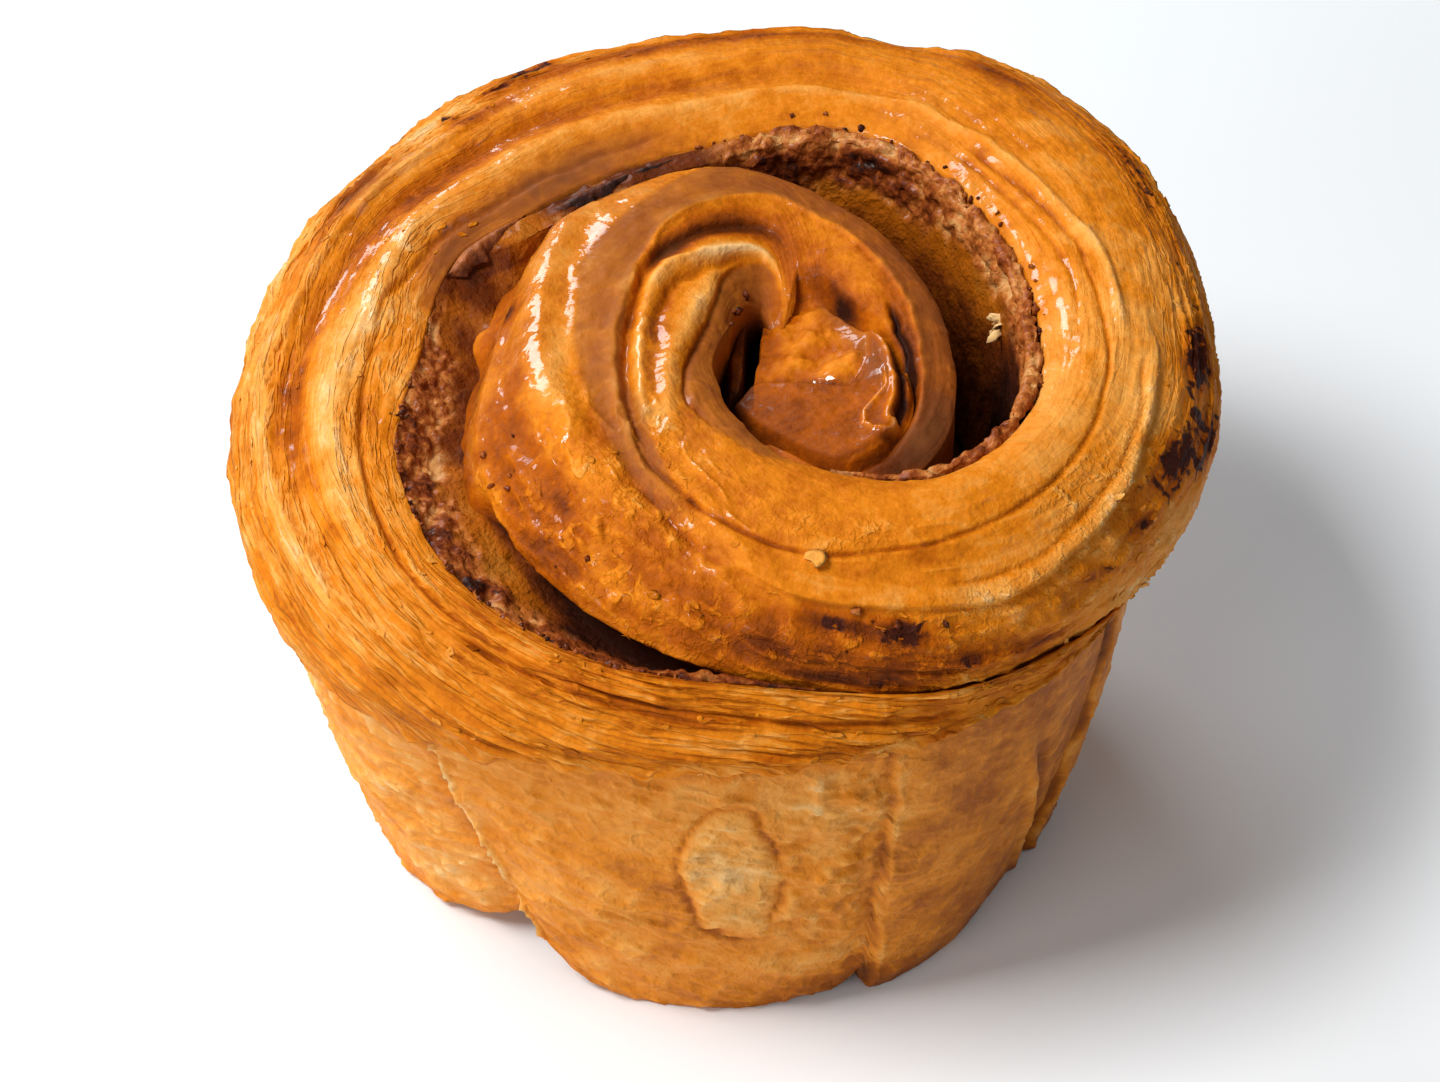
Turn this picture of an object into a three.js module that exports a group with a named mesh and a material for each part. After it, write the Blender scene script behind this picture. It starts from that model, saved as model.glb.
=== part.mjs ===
// Cinnamon croissant: a strip of laminated dough rolled up on edge with its cinnamon filling, and
// baked upright in a small round tin. Below the tin's rim it is a tapered cup of folded dough; above
// it the roll has risen and spread into a lopsided cap, whose turns have opened into a spiral.
//
// Millimetres, +Z up, standing on z = 0 with the cup's axis on the origin. The roll is followed by its
// turn angle in degrees, which starts at +X, grows anticlockwise seen from above and runs on past 360
// from one turn to the next.

import * as THREE from "three";
import { mergeVertices } from "three/addons/utils/BufferGeometryUtils.js";

// ---- driving dimensions ----

const EYE = { x: 4, y: -4 }; // centre of the spiral, off the cup's axis
const EYE_REACH = [22, 42]; // radii between which the turns shift from the eye to the cup's axis
const EYE_FLOOR = 47; // height of the floor of the hole beside the eye
const EYE_POINT = 1; // radius within which the surface is drawn to one point
const FIRST_ANGLE = 60; // turn angle where the gap between the turns begins, at the eye
const LAST_ANGLE = 705; // turn angle where the strip's outer end runs out into the cap's lip
const ANGLE_STEP = 7.5; // from one cross-section to the next

const CUP_BELLY = 1.2; // how far the cup's wall swells past a straight taper
const UNDERCUT = 1.5; // how far the cup's wall steps in under the cap's lip
const FOOT_BEVEL = 2.4;
const CUP_LEVELS = [0, 0.06, 0.14, 0.24, 0.36, 0.48, 0.6, 0.72, 0.84, 0.93, 1]; // from lip to bevel
// Where one flap of dough ends over the next, round the cup: [angle, depth of the fold at the foot].
const FOLDS = [[22.5, 1.6], [82.5, 2.2], [135, 1.6], [187.5, 1.4], [240, 4.4], [292.5, 2.8], [337.5, 1]];
const FOLD_WIDTH = 24; // angle over which the cup's wall is drawn in before a fold

const FILLING_THICKNESS = 1.8;
const FILLING_FROM = 300; // turn angles that the filling shows between
const FILLING_TO = 630;
const FILLING_TAPER = 30; // turn angle over which it thins out at each end
const FILLING_FLOOR = 12; // height that it reaches down to
const FIT = 0.3; // clearance between filling and dough
const SWELL_PULL = 2.2; // how far a crown's handle stands off the lip to swell the cap by 1
const NARROW_STRIP = 8; // width below which a crown's handles shrink with the strip
const CROWN_POINTS = 15; // in each cross-section, over the top of the strip
const WALL_LEAN = 0.2; // share of its radius by which a turn's wall leans in on its way down

// ---- smooth curves ----

const mix = THREE.MathUtils.lerp;
const ramp = THREE.MathUtils.smoothstep;
const wrap = (angle) => THREE.MathUtils.euclideanModulo(angle, 360);

// A curve through [x, y] knots with no overshoot between them, level beyond the first and the last.
function through(...knots) {
  const slopes = knots.slice(1).map(([x, y], i) => (y - knots[i][1]) / (x - knots[i][0]));
  const tangents = knots.map((_, i) => {
    const before = slopes[i - 1] ?? 0;
    const after = slopes[i] ?? 0;
    return before * after > 0 ? (2 * before * after) / (before + after) : 0;
  });
  return (x) => {
    const i = knots.findLastIndex(([knot]) => knot <= x);
    if (i < 0) return knots[0][1];
    if (i === knots.length - 1) return knots[i][1];
    const [from, to] = [knots[i], knots[i + 1]];
    const width = to[0] - from[0];
    const u = (x - from[0]) / width;
    const bend = tangents[i] * (u ** 3 - 2 * u ** 2 + u) + tangents[i + 1] * (u ** 3 - u ** 2);
    return mix(from[1], to[1], u * u * (3 - 2 * u)) + width * bend;
  };
}

// ---- the cap's lip: the corner under the cap that sat on the rim of the tin ----

const lipRadius = through(
  [0, 45.2], [90, 45], [135, 44.5], [175, 46.6], [210, 48.6], [270, 44.3], [310, 45.6], [360, 45.2],
);
const lipHeight = through([0, 43.5], [90, 45], [135, 43], [216, 40], [260, 43], [300, 44], [360, 43.5]);
// How far the cap swells out past its lip, by angle: it leans towards the back right.
const capSwell = through(
  [0, 6.2], [24, 8.4], [50, 11.6], [78, 9.4], [118, 10.6], [148, 6], [180, 4.2], [216, 2.6], [280, 4],
  [330, 4.6], [360, 6.2],
);

// The cup's foot.
const footRadius = through(
  [0, 37.7], [90, 37], [190, 39], [225, 37.4], [270, 37.3], [300, 38], [325, 36.2], [360, 37.7],
);

// ---- the gap between the turns, by turn angle ----
// It lies between the inner lip of one turn and the outer edge of the turn before it. At LAST_ANGLE
// both have run out into the cap's lip, and beyond it they stay on the lip.

const onLip = (lip, curve) => (turn) => (turn < LAST_ANGLE ? curve(turn) : lip(wrap(turn)));

const innerRadius = onLip(
  lipRadius,
  through(
    [60, 0], [75, 3.5], [92, 10.2], [130, 5.6], [165, 4.7], [225, 6.8], [257, 11.7], [281, 18.4],
    [316, 25.2], [340, 27.2], [362, 26.8], [394, 29.8], [428, 35.2], [460, 31.2], [492, 30], [512, 31],
    [532, 30.2], [567, 34.2], [600, 38.8], [628, 40.4], [664, 45.6], [690, 45.9],
    [LAST_ANGLE, lipRadius(345)],
  ),
);
const innerHeight = onLip(
  lipHeight,
  through(
    [60, EYE_FLOOR], [90, 58.5], [115, 60.5], [270, 62], [360, 61.6], [480, 59.8], [540, 58],
    [600, 54.2], [670, 47.6], [LAST_ANGLE, lipHeight(345)],
  ),
);
const outerRadius = onLip(
  lipRadius,
  through(
    [200, 0], [245, 3], [264, 11.6], [285, 18], [310, 21.6], [366, 18.9], [395, 19.9], [430, 24.3],
    [458, 28.8], [528, 26.2], [570, 30.5], [605, 36], [630, 39.8], [664, 44.6], [690, 45],
    [LAST_ANGLE, lipRadius(345)],
  ),
);
const outerHeight = onLip(
  lipHeight,
  through(
    [200, EYE_FLOOR], [245, 49], [264, 55.5], [285, 57.6], [350, 59.8], [430, 62.2], [470, 62.4], [540, 59.6],
    [600, 54.6], [670, 47.5], [LAST_ANGLE, lipHeight(345)],
  ),
);
// The floor of the open gap: deep beside the eye and at the right, shallow where the turns touch.
const gapFloor = onLip(
  lipHeight,
  through(
    [200, EYE_FLOOR], [245, 48.5], [264, 54], [290, 56.2], [315, 52], [345, 39], [390, 37], [415, 40],
    [450, 52], [470, 57], [490, 56.5], [520, 50], [560, 47.6], [625, 48.2], [664, 46.4], [690, 44],
    [LAST_ANGLE, lipHeight(345)],
  ),
);

// How much of the filling's slot is there at a turn angle, from 0 to 1.
function slotShare(turn) {
  const opening = ramp(turn, FILLING_FROM - FILLING_TAPER / 2, FILLING_FROM + FILLING_TAPER / 2);
  return opening * (1 - ramp(turn, FILLING_TO - FILLING_TAPER / 2, FILLING_TO + FILLING_TAPER / 2));
}

const slotWidth = (turn) => (FILLING_THICKNESS + 2 * FIT) * slotShare(turn);
const slotFloor = (turn) => mix(gapFloor(turn), FILLING_FLOOR - FIT, slotShare(turn));

// Radius of the slot's inner wall at a height: it leans in from the inner lip towards the cup's foot.
function slotRadius(turn, height) {
  const depth = (innerHeight(turn) - height) / (innerHeight(turn) - FILLING_FLOOR);
  return innerRadius(turn) * (1 - WALL_LEAN * depth);
}

// ---- cross-sections, as [radius, height] points ----

// n points of a cubic Bezier from its first control point on, leaving out its last one.
function bezier(n, ...controls) {
  const curve = new THREE.CubicBezierCurve(...controls.map(([x, y]) => new THREE.Vector2(x, y)));
  return Array.from({ length: n }, (_, i) => curve.getPoint(i / n).toArray());
}

// n points of a straight line from a to b, leaving out b.
function straight(n, a, b) {
  return Array.from({ length: n }, (_, i) => [mix(a[0], b[0], i / n), mix(a[1], b[1], i / n)]);
}

const innerLip = (turn) => [innerRadius(turn) + slotWidth(turn), innerHeight(turn)];
const outerEdge = (turn) => [outerRadius(turn), outerHeight(turn)];

// The middle of the gap's floor, where one cross-section ends and the next turn's begins.
const floorMiddle = (turn) => [slotRadius(turn, slotFloor(turn)) + slotWidth(turn) / 2, slotFloor(turn)];

// Up the gap's outer wall, from the middle of its floor to the turn's inner lip.
function outerWall(turn) {
  const foot = [slotRadius(turn, slotFloor(turn)) + slotWidth(turn), slotFloor(turn)];
  const bend = [slotRadius(turn, gapFloor(turn)) + slotWidth(turn), gapFloor(turn)];
  return [floorMiddle(turn), ...straight(2, foot, bend), ...straight(2, bend, innerLip(turn))];
}

// Down the gap's inner wall, from the outer edge to the open gap's floor and on down the slot.
function innerWall(turn) {
  const edge = outerEdge(turn);
  const floor = gapFloor(turn);
  const slotMouth = [slotRadius(turn, floor), floor];
  const slotFoot = [slotRadius(turn, slotFloor(turn)), slotFloor(turn)];
  const overhang = [edge[0] - 0.1 * (slotMouth[0] - edge[0]), mix(edge[1], floor, 0.5)];
  const shelf = [mix(edge[0], slotMouth[0], 0.1), floor - 0.1 * (slotMouth[0] - edge[0])];
  return [...bezier(4, edge, overhang, shelf, slotMouth), ...straight(2, slotMouth, slotFoot), slotFoot];
}

// How far the crown's handles stand off its two ends, out and up, by turn angle.
const innerHandle = {
  out: through(
    [60, 0], [90, 4], [240, 4], [300, 6], [350, 14], [420, 18], [480, 15], [540, 12], [620, 3], [660, 0],
  ),
  up: through([-60, 14], [60, 12], [90, 3], [270, 3], [400, 7], [480, 6], [540, 4], [600, 1.5], [660, 0]),
};
const outerHandle = {
  out: through([-120, 0], [-60, -4], [60, -3], [180, -6], [240, -6], [290, 0]),
  up: through(
    [-120, 1], [-60, 3.4], [60, 3.4], [180, 6.5], [240, 9], [330, 10], [420, 12], [480, 11], [560, 8],
    [630, 4], [690, 0],
  ),
};

// Creases along the crown, where sheets of the laminated dough have parted: how far across the strip
// each lies (0 at the inner lip, 1 at the outer edge) and how deep it is, by turn angle.
const CREASES = [
  {
    across: through([90, 0.55], [180, 0.4], [270, 0.33], [360, 0.45], [450, 0.6]),
    depth: through([75, 0], [120, 1.2], [400, 1.2], [440, 0]),
  },
  {
    across: through([90, 0.76], [180, 0.6], [270, 0.6], [360, 0.7]),
    depth: through([80, 0], [120, 1], [200, 0.8], [240, 0.2], [290, 1], [380, 0.8], [410, 0]),
  },
  {
    across: through([420, 0.28], [540, 0.4], [600, 0.5]),
    depth: through([400, 0], [450, 1.1], [580, 1.1], [630, 0]),
  },
];
const CREASE_WIDTH = 0.07; // half width, as a share of the way across

// How deep the creases are at a point across the crown.
function creaseDepth(turn, across) {
  return CREASES.reduce((total, crease) => {
    const off = Math.abs(across - crease.across(turn)) / CREASE_WIDTH;
    return total + crease.depth(turn) * (1 - ramp(off, 0, 1));
  }, 0);
}

// Over the top of the strip, from its inner lip to its outer edge.
function crown(turn) {
  const lip = innerLip(turn);
  const edge = outerEdge(turn + 360);
  const narrow = Math.min(1, (edge[0] - lip[0]) / NARROW_STRIP);
  const swell = SWELL_PULL * capSwell(wrap(turn)) * ramp(turn, 270, 345);
  const inner = [lip[0] + narrow * innerHandle.out(turn), lip[1] + narrow * innerHandle.up(turn)];
  const outer = [edge[0] + narrow * (outerHandle.out(turn) + swell), edge[1] + narrow * outerHandle.up(turn)];
  const section = bezier(CROWN_POINTS, lip, inner, outer, edge);
  return section.map(([radius, height], i) => [radius, height - creaseDepth(turn, i / CROWN_POINTS)]);
}

// ---- surfaces ----

// A point of the roll: its radius is measured from the eye near the middle, from the cup's axis at the rim.
// Points that nearly reach the eye meet in one on its floor.
function onRoll(turn, [radius, height]) {
  if (radius < EYE_POINT) return new THREE.Vector3(EYE.x, EYE.y, EYE_FLOOR);
  const pull = 1 - ramp(radius, ...EYE_REACH);
  return onCup(turn, [radius, height]).add(new THREE.Vector3(EYE.x * pull, EYE.y * pull, 0));
}

// A point at an angle round the cup's axis.
function onCup(angle, [radius, height]) {
  const turned = THREE.MathUtils.degToRad(angle);
  return new THREE.Vector3(radius * Math.cos(turned), radius * Math.sin(turned), height);
}

// A closed geometry from quads of points, where points that meet are one and flattened faces drop out.
function closedGeometry(quads) {
  const corners = quads.flatMap(([a, b, c, d]) => [a, b, c, a, c, d]);
  const soup = new THREE.BufferGeometry().setFromPoints(corners);
  const merged = mergeVertices(soup, 1e-3);
  const index = merged.index.array;
  const kept = [];
  for (let i = 0; i < index.length; i += 3) {
    const [a, b, c] = index.slice(i, i + 3);
    if (a !== b && b !== c && c !== a) kept.push(a, b, c);
  }
  merged.setIndex(kept);
  merged.computeVertexNormals();
  return merged;
}

// The quads between rows of points, where row i + 1 lies to the left of row i.
function quadsBetween(rows) {
  return rows.slice(1).flatMap((next, i) => {
    const row = rows[i];
    return next.slice(1).map((point, j) => [row[j], row[j + 1], point, next[j]]);
  });
}

// The cap: one cross-section after another along the strip, each from the gap inside it to the one outside.
function capQuads() {
  const sections = [];
  for (let turn = FIRST_ANGLE - 360; turn <= LAST_ANGLE; turn += ANGLE_STEP) {
    const section = [...outerWall(turn), ...crown(turn), ...innerWall(turn + 360), floorMiddle(turn + 360)];
    sections.push(section.map((point) => onRoll(turn, point)));
  }
  return quadsBetween(sections);
}

// How far the cup's wall is drawn in at an angle: slowly up to each fold, then sharply back out over it.
function foldDepth(angle) {
  return FOLDS.reduce((depth, [at, deep]) => {
    const before = wrap(at - angle);
    return depth + deep * ramp(before, -1, 0) * (1 - ramp(before, 0, FOLD_WIDTH));
  }, 0);
}

// The cup's wall from the cap's lip (level 0) down to the foot's bevel (level 1).
function cupPoint(angle, level) {
  const taper = mix(lipRadius(angle) - UNDERCUT * ramp(level, 0, 0.06), footRadius(angle), level);
  const belly = CUP_BELLY * Math.sin(Math.PI * level);
  const fold = foldDepth(angle) * ramp(level, 0, 0.15) * mix(0.4, 1, level);
  return [taper + belly - fold, mix(lipHeight(angle), FOOT_BEVEL, level)];
}

function cupQuads() {
  const columns = [];
  for (let angle = 0; angle <= 360; angle += ANGLE_STEP) {
    const wall = CUP_LEVELS.map((level) => cupPoint(wrap(angle), level));
    const foot = [wall.at(-1)[0] - FOOT_BEVEL, 0];
    columns.push([...wall, foot, [0, 0]].map((point) => onCup(angle, point)));
  }
  return quadsBetween(columns);
}

// The filling: a thin band standing in its slot, from the slot's floor up to the turn's inner lip.
function fillingQuads() {
  const sections = [];
  for (let turn = FILLING_FROM; turn <= FILLING_TO; turn += ANGLE_STEP) {
    const floor = slotFloor(turn) + FIT;
    const heights = [floor, mix(floor, gapFloor(turn), 0.5), gapFloor(turn), innerHeight(turn) - FIT];
    const inner = heights.map((height) => [slotRadius(turn, height) + FIT, height]);
    const outer = heights.map((height) => [slotRadius(turn, height) + slotWidth(turn) - FIT, height]);
    const loop = [...inner, ...outer.reverse(), inner[0]];
    sections.push(loop.map((point) => onRoll(turn, point)));
  }
  const ends = [sections[0], sections.at(-1).toReversed()].flatMap((loop) => {
    const last = loop.length - 2;
    return [0, 1, 2].map((i) => [loop[i], loop[last - i], loop[last - i - 1], loop[i + 1]]);
  });
  return [...quadsBetween(sections), ...ends];
}

// ---- the croissant ----

function sheet(name, quads, colour, roughness) {
  const material = new THREE.MeshStandardMaterial({ color: colour, roughness, metalness: 0 });
  const mesh = new THREE.Mesh(closedGeometry(quads), material);
  mesh.name = name;
  return mesh;
}

const croissant = new THREE.Group();
croissant.add(sheet("dough", [...capQuads(), ...cupQuads()], 0xc98a4b, 0.6));
croissant.add(sheet("cinnamon_filling", fillingQuads(), 0x6b3a1f, 0.8));

export default croissant;
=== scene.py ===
import math

import bpy
import numpy as np
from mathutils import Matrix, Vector


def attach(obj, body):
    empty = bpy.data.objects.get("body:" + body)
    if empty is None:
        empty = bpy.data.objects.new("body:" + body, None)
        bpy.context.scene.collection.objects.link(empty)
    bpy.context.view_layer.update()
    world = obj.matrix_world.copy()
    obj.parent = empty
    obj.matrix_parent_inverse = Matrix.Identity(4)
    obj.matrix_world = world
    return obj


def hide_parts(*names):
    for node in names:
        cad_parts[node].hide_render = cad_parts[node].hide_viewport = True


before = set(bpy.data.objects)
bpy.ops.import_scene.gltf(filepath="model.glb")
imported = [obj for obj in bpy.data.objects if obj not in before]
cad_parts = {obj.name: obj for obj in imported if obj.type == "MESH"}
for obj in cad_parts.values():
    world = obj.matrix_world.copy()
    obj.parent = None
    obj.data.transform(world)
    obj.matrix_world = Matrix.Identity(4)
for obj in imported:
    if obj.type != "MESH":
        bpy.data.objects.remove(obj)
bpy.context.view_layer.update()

MM = 0.001  # the pastry's own sizes below are in millimetres


# ---- Camera, light and floor ----
# The pastry stands on a plain white tabletop and is looked down on from its front, at the height of
# somebody about to pick it up. Soft light comes from the left and from above and behind.

AIM = Vector((-0.4 * MM, 0, 32.2 * MM))
LOOK_DOWN = math.radians(42)
CAMERA_DISTANCE = 0.4

camera = bpy.data.objects.new("camera", bpy.data.cameras.new("camera"))
camera.location = AIM + CAMERA_DISTANCE * Vector((0, -math.cos(LOOK_DOWN), math.sin(LOOK_DOWN)))
camera.rotation_euler = (AIM - camera.location).to_track_quat("-Z", "Y").to_euler()
camera.data.lens = 94.2
camera.data.clip_start = 0.01
bpy.context.collection.objects.link(camera)
bpy.context.scene.camera = camera
bpy.context.scene.view_settings.view_transform = "Standard"


def soft_light(name, azimuth, height, distance, size, power, colour=(1, 1, 1)):
    """A square area light that faces the pastry from an azimuth and a height above it, in degrees."""
    turn, rise = math.radians(azimuth), math.radians(height)
    towards = Vector((math.cos(rise) * math.cos(turn), math.cos(rise) * math.sin(turn), math.sin(rise)))
    light = bpy.data.lights.new(name, "AREA")
    light.size = size
    light.energy = power
    light.color = colour
    holder = bpy.data.objects.new(name, light)
    holder.location = AIM + distance * towards
    holder.rotation_euler = (-towards).to_track_quat("-Z", "Y").to_euler()
    bpy.context.collection.objects.link(holder)


soft_light("window_left", 195, 57, 1.0, 0.4, 11.4)
soft_light("window_behind", 122, 30, 0.9, 0.45, 4, (0.9, 0.95, 1))
soft_light("room_front", 228, 16, 1.1, 0.6, 5)
soft_light("room_right", 335, 45, 1.2, 1.2, 2.4)

room = bpy.data.worlds.new("room")
room.use_nodes = True
room.node_tree.nodes["Background"].inputs["Color"].default_value = (1, 1, 1, 1)
room.node_tree.nodes["Background"].inputs["Strength"].default_value = 0.07
bpy.context.scene.world = room


def new_material(name, roughness):
    """A Principled material by name, with its shader and node tree."""
    material = bpy.data.materials.new(name)
    material.use_nodes = True
    shader = material.node_tree.nodes["Principled BSDF"]
    shader.inputs["Roughness"].default_value = roughness
    return material, shader, material.node_tree


def new_piece(name, points, faces, material):
    """A smooth-shaded mesh object from an (n, 3) array of points in millimetres and an (m, 4 or 3) array."""
    mesh = bpy.data.meshes.new(name)
    mesh.from_pydata((np.asarray(points) * MM).tolist(), [], np.asarray(faces).tolist())
    mesh.materials.append(material)
    mesh.polygons.foreach_set("use_smooth", np.ones(len(mesh.polygons), bool))
    piece = bpy.data.objects.new(name, mesh)
    bpy.context.collection.objects.link(piece)
    return piece


table_finish, table_shader, _ = new_material("white_tabletop", 0.7)
table_shader.inputs["Base Color"].default_value = (0.8, 0.825, 0.84, 1)
TABLE = 2500
table = new_piece(
    "tabletop",
    [(-TABLE, -TABLE, 0), (TABLE, -TABLE, 0), (TABLE, TABLE, 0), (-TABLE, TABLE, 0)],
    [(0, 1, 2, 3)],
    table_finish,
)


# ---- The roll: a long strip of laminated dough, rolled up and risen into the cap ----
# One sheet of butter-layered dough, wound from the eye outwards. It is followed by its turn angle in
# degrees, which runs on past 360 from one turn to the next, and by how far across the strip a point is.

EYE = (4, -4)
EYE_REACH = (22, 42)
EYE_FLOOR = 47
EYE_POINT = 1
FIRST_ANGLE = 60
LAST_ANGLE = 705


def through(*knots):
    """A smooth curve through (x, y) knots, with no overshoot between them and level beyond them."""
    x, y = np.array(knots, float).T
    slope = np.diff(y) / np.diff(x)
    before, after = np.r_[0, slope], np.r_[slope, 0]
    same_way = before * after > 0
    tangent = np.where(same_way, 2 * before * after / np.where(same_way, before + after, 1), 0)

    def curve(at):
        at = np.clip(at, x[0], x[-1])
        i = np.clip(np.searchsorted(x, at, side="right") - 1, 0, len(x) - 2)
        width = x[i + 1] - x[i]
        u = (at - x[i]) / width
        level = y[i] + (y[i + 1] - y[i]) * u * u * (3 - 2 * u)
        bend = tangent[i] * (u**3 - 2 * u**2 + u) + tangent[i + 1] * (u**3 - u**2)
        return level + width * bend

    return curve


def ramp(x, start, end):
    """0 before start, 1 after end, with a smooth rise between them."""
    u = np.clip((np.asarray(x, float) - start) / (end - start), 0, 1)
    return u * u * (3 - 2 * u)


def mix(a, b, share):
    """From a, at share 0, straight to b, at share 1."""
    return a + (b - a) * share


lip_radius = through(
    (0, 45.2), (90, 45), (135, 44.5), (175, 46.6), (210, 48.6), (270, 44.3), (310, 45.6), (360, 45.2)
)
lip_height = through((0, 43.5), (90, 45), (135, 43), (216, 40), (260, 43), (300, 44), (360, 43.5))
cap_swell = through(
    (0, 6.2), (24, 8.4), (50, 11.6), (78, 9.4), (118, 10.6), (148, 6), (180, 4.2), (216, 2.6),
    (280, 4), (330, 4.6), (360, 6.2),
)


def on_lip(lip, curve):
    """The curve up to the strip's outer end, and the cap's lip beyond it."""
    return lambda turn: np.where(turn < LAST_ANGLE, curve(turn), lip(np.mod(turn, 360)))


END_RADIUS = float(lip_radius(345))
END_HEIGHT = float(lip_height(345))
inner_radius = on_lip(
    lip_radius,
    through(
        (60, 0), (75, 3.5), (92, 10.2), (130, 5.6), (165, 4.7), (225, 6.8), (257, 11.7), (281, 18.4),
        (316, 25.2), (340, 27.2), (362, 26.8), (394, 29.8), (428, 35.2), (460, 31.2), (492, 30), (512, 31),
        (532, 30.2), (567, 34.2), (600, 38.8), (628, 40.4), (664, 45.6), (690, 45.9), (705, END_RADIUS),
    ),
)
inner_height = on_lip(
    lip_height,
    through(
        (60, EYE_FLOOR), (90, 58.5), (115, 60.5), (270, 62), (360, 61.6), (480, 59.8), (540, 58),
        (600, 54.2), (670, 47.6), (705, END_HEIGHT),
    ),
)
outer_radius = on_lip(
    lip_radius,
    through(
        (200, 0), (245, 3), (264, 11.6), (285, 18), (310, 21.6), (366, 18.9), (395, 19.9), (430, 24.3),
        (458, 28.8), (528, 26.2), (570, 30.5), (605, 36), (630, 39.8), (664, 44.6), (690, 45),
        (705, END_RADIUS),
    ),
)
outer_height = on_lip(
    lip_height,
    through(
        (200, EYE_FLOOR), (245, 49), (264, 55.5), (285, 57.6), (350, 59.8), (430, 62.2), (470, 62.4),
        (540, 59.6), (600, 54.6), (670, 47.5), (705, END_HEIGHT),
    ),
)
gap_floor = on_lip(
    lip_height,
    through(
        (200, EYE_FLOOR), (245, 48.5), (264, 54), (290, 56.2), (315, 52), (345, 39), (390, 37), (415, 40),
        (450, 52), (470, 57), (490, 57), (520, 55), (560, 52), (590, 49.6), (625, 48.2), (664, 46.4),
        (690, 44), (705, END_HEIGHT),
    ),
)

FILLING_THICKNESS = 1.8
FILLING_FROM = 300
FILLING_TO = 630
FILLING_TAPER = 30
FILLING_FLOOR = 12
FIT = 0.3
WALL_LEAN = 0.2


def slot_share(turn):
    """How much of the filling's slot there is at a turn angle, from 0 to 1."""
    half = FILLING_TAPER / 2
    opening = ramp(turn, FILLING_FROM - half, FILLING_FROM + half)
    return opening * (1 - ramp(turn, FILLING_TO - half, FILLING_TO + half))


def slot_width(turn):
    """Width of the filling's slot: the filling and its fit on both sides, times the slot's share."""
    return (FILLING_THICKNESS + 2 * FIT) * slot_share(turn)


def slot_floor(turn):
    """Height of the slot's floor, which comes up to the open gap's floor where there is no slot."""
    return mix(gap_floor(turn), FILLING_FLOOR - FIT, slot_share(turn))


def slot_radius(turn, height):
    """Radius of the slot's inner wall, which leans in from the inner lip towards the cup's foot."""
    depth = (inner_height(turn) - height) / (inner_height(turn) - FILLING_FLOOR)
    return inner_radius(turn) * (1 - WALL_LEAN * depth)


inner_handle_out = through(
    (60, 0), (90, 4), (240, 4), (300, 6), (350, 14), (420, 18), (480, 15), (540, 12), (620, 3), (660, 0)
)
inner_handle_up = through(
    (-60, 14), (60, 12), (90, 3), (270, 3), (400, 7), (480, 6), (540, 4), (600, 1.5), (660, 0)
)
outer_handle_out = through((-120, 0), (-60, -4), (60, -3), (180, -6), (240, -6), (290, 0))
outer_handle_up = through(
    (-120, 1), (-60, 3.4), (60, 3.4), (180, 6.5), (240, 9), (330, 10), (420, 12), (480, 11), (560, 8),
    (630, 4), (690, 0),
)
SWELL_PULL = 2.2
NARROW_STRIP = 8


def crown(turn, across):
    """Over the top of the strip: a cubic Bezier in radius and height from inner lip to outer edge."""
    lip = np.stack([inner_radius(turn) + slot_width(turn), inner_height(turn)])
    edge = np.stack([outer_radius(turn + 360), outer_height(turn + 360)])
    narrow = np.minimum(1, (edge[0] - lip[0]) / NARROW_STRIP)
    swell = SWELL_PULL * cap_swell(np.mod(turn, 360)) * ramp(turn, 270, 345)
    inner = lip + narrow * np.stack([inner_handle_out(turn), inner_handle_up(turn)])
    outer = edge + narrow * np.stack([outer_handle_out(turn) + swell, outer_handle_up(turn)])
    back = 1 - across
    return back**3 * lip + 3 * back**2 * across * inner + 3 * back * across**2 * outer + across**3 * edge


def outer_wall(turn, up):
    """Up the gap's outer wall, from the middle of its floor (up = 0) to the inner lip (up = 1)."""
    floor, bend, width = slot_floor(turn), gap_floor(turn), slot_width(turn)
    height = np.where(up < 0.5, mix(floor, bend, np.clip(2 * up - 0.1, 0, 1) / 0.9), 0)
    height = np.where(up >= 0.5, mix(bend, inner_height(turn), 2 * up - 1), height)
    radius = slot_radius(turn, height) + width * np.where(up <= 0, 0.5, 1)
    return np.stack([radius, height])


def inner_wall(turn, down):
    """Down the gap's inner wall: a Bezier from the outer edge to the open floor, then down the slot."""
    edge = np.stack([outer_radius(turn), outer_height(turn)])
    floor = gap_floor(turn)
    mouth = np.stack([slot_radius(turn, floor), floor])
    open_gap = mouth[0] - edge[0]
    sloping = ramp(turn, 470, 510) * (1 - ramp(turn, 590, 625))
    overhang = np.stack([edge[0] + mix(-0.1, 0.35, sloping) * open_gap, mix(edge[1], floor, 0.5)])
    shelf = np.stack([edge[0] + mix(0.1, 0.6, sloping) * open_gap, floor - 0.1 * open_gap])
    s = np.clip(down / 0.7, 0, 1)
    back = 1 - s
    upper = back**3 * edge + 3 * back**2 * s * overhang + 3 * back * s**2 * shelf + s**3 * mouth
    height = mix(floor, slot_floor(turn), np.clip((down - 0.7) / 0.25, 0, 1))
    lower_radius = slot_radius(turn, height) + slot_width(turn) * np.where(down >= 1, 0.5, 0)
    return np.where(down < 0.7, upper, np.stack([lower_radius, height]))


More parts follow.
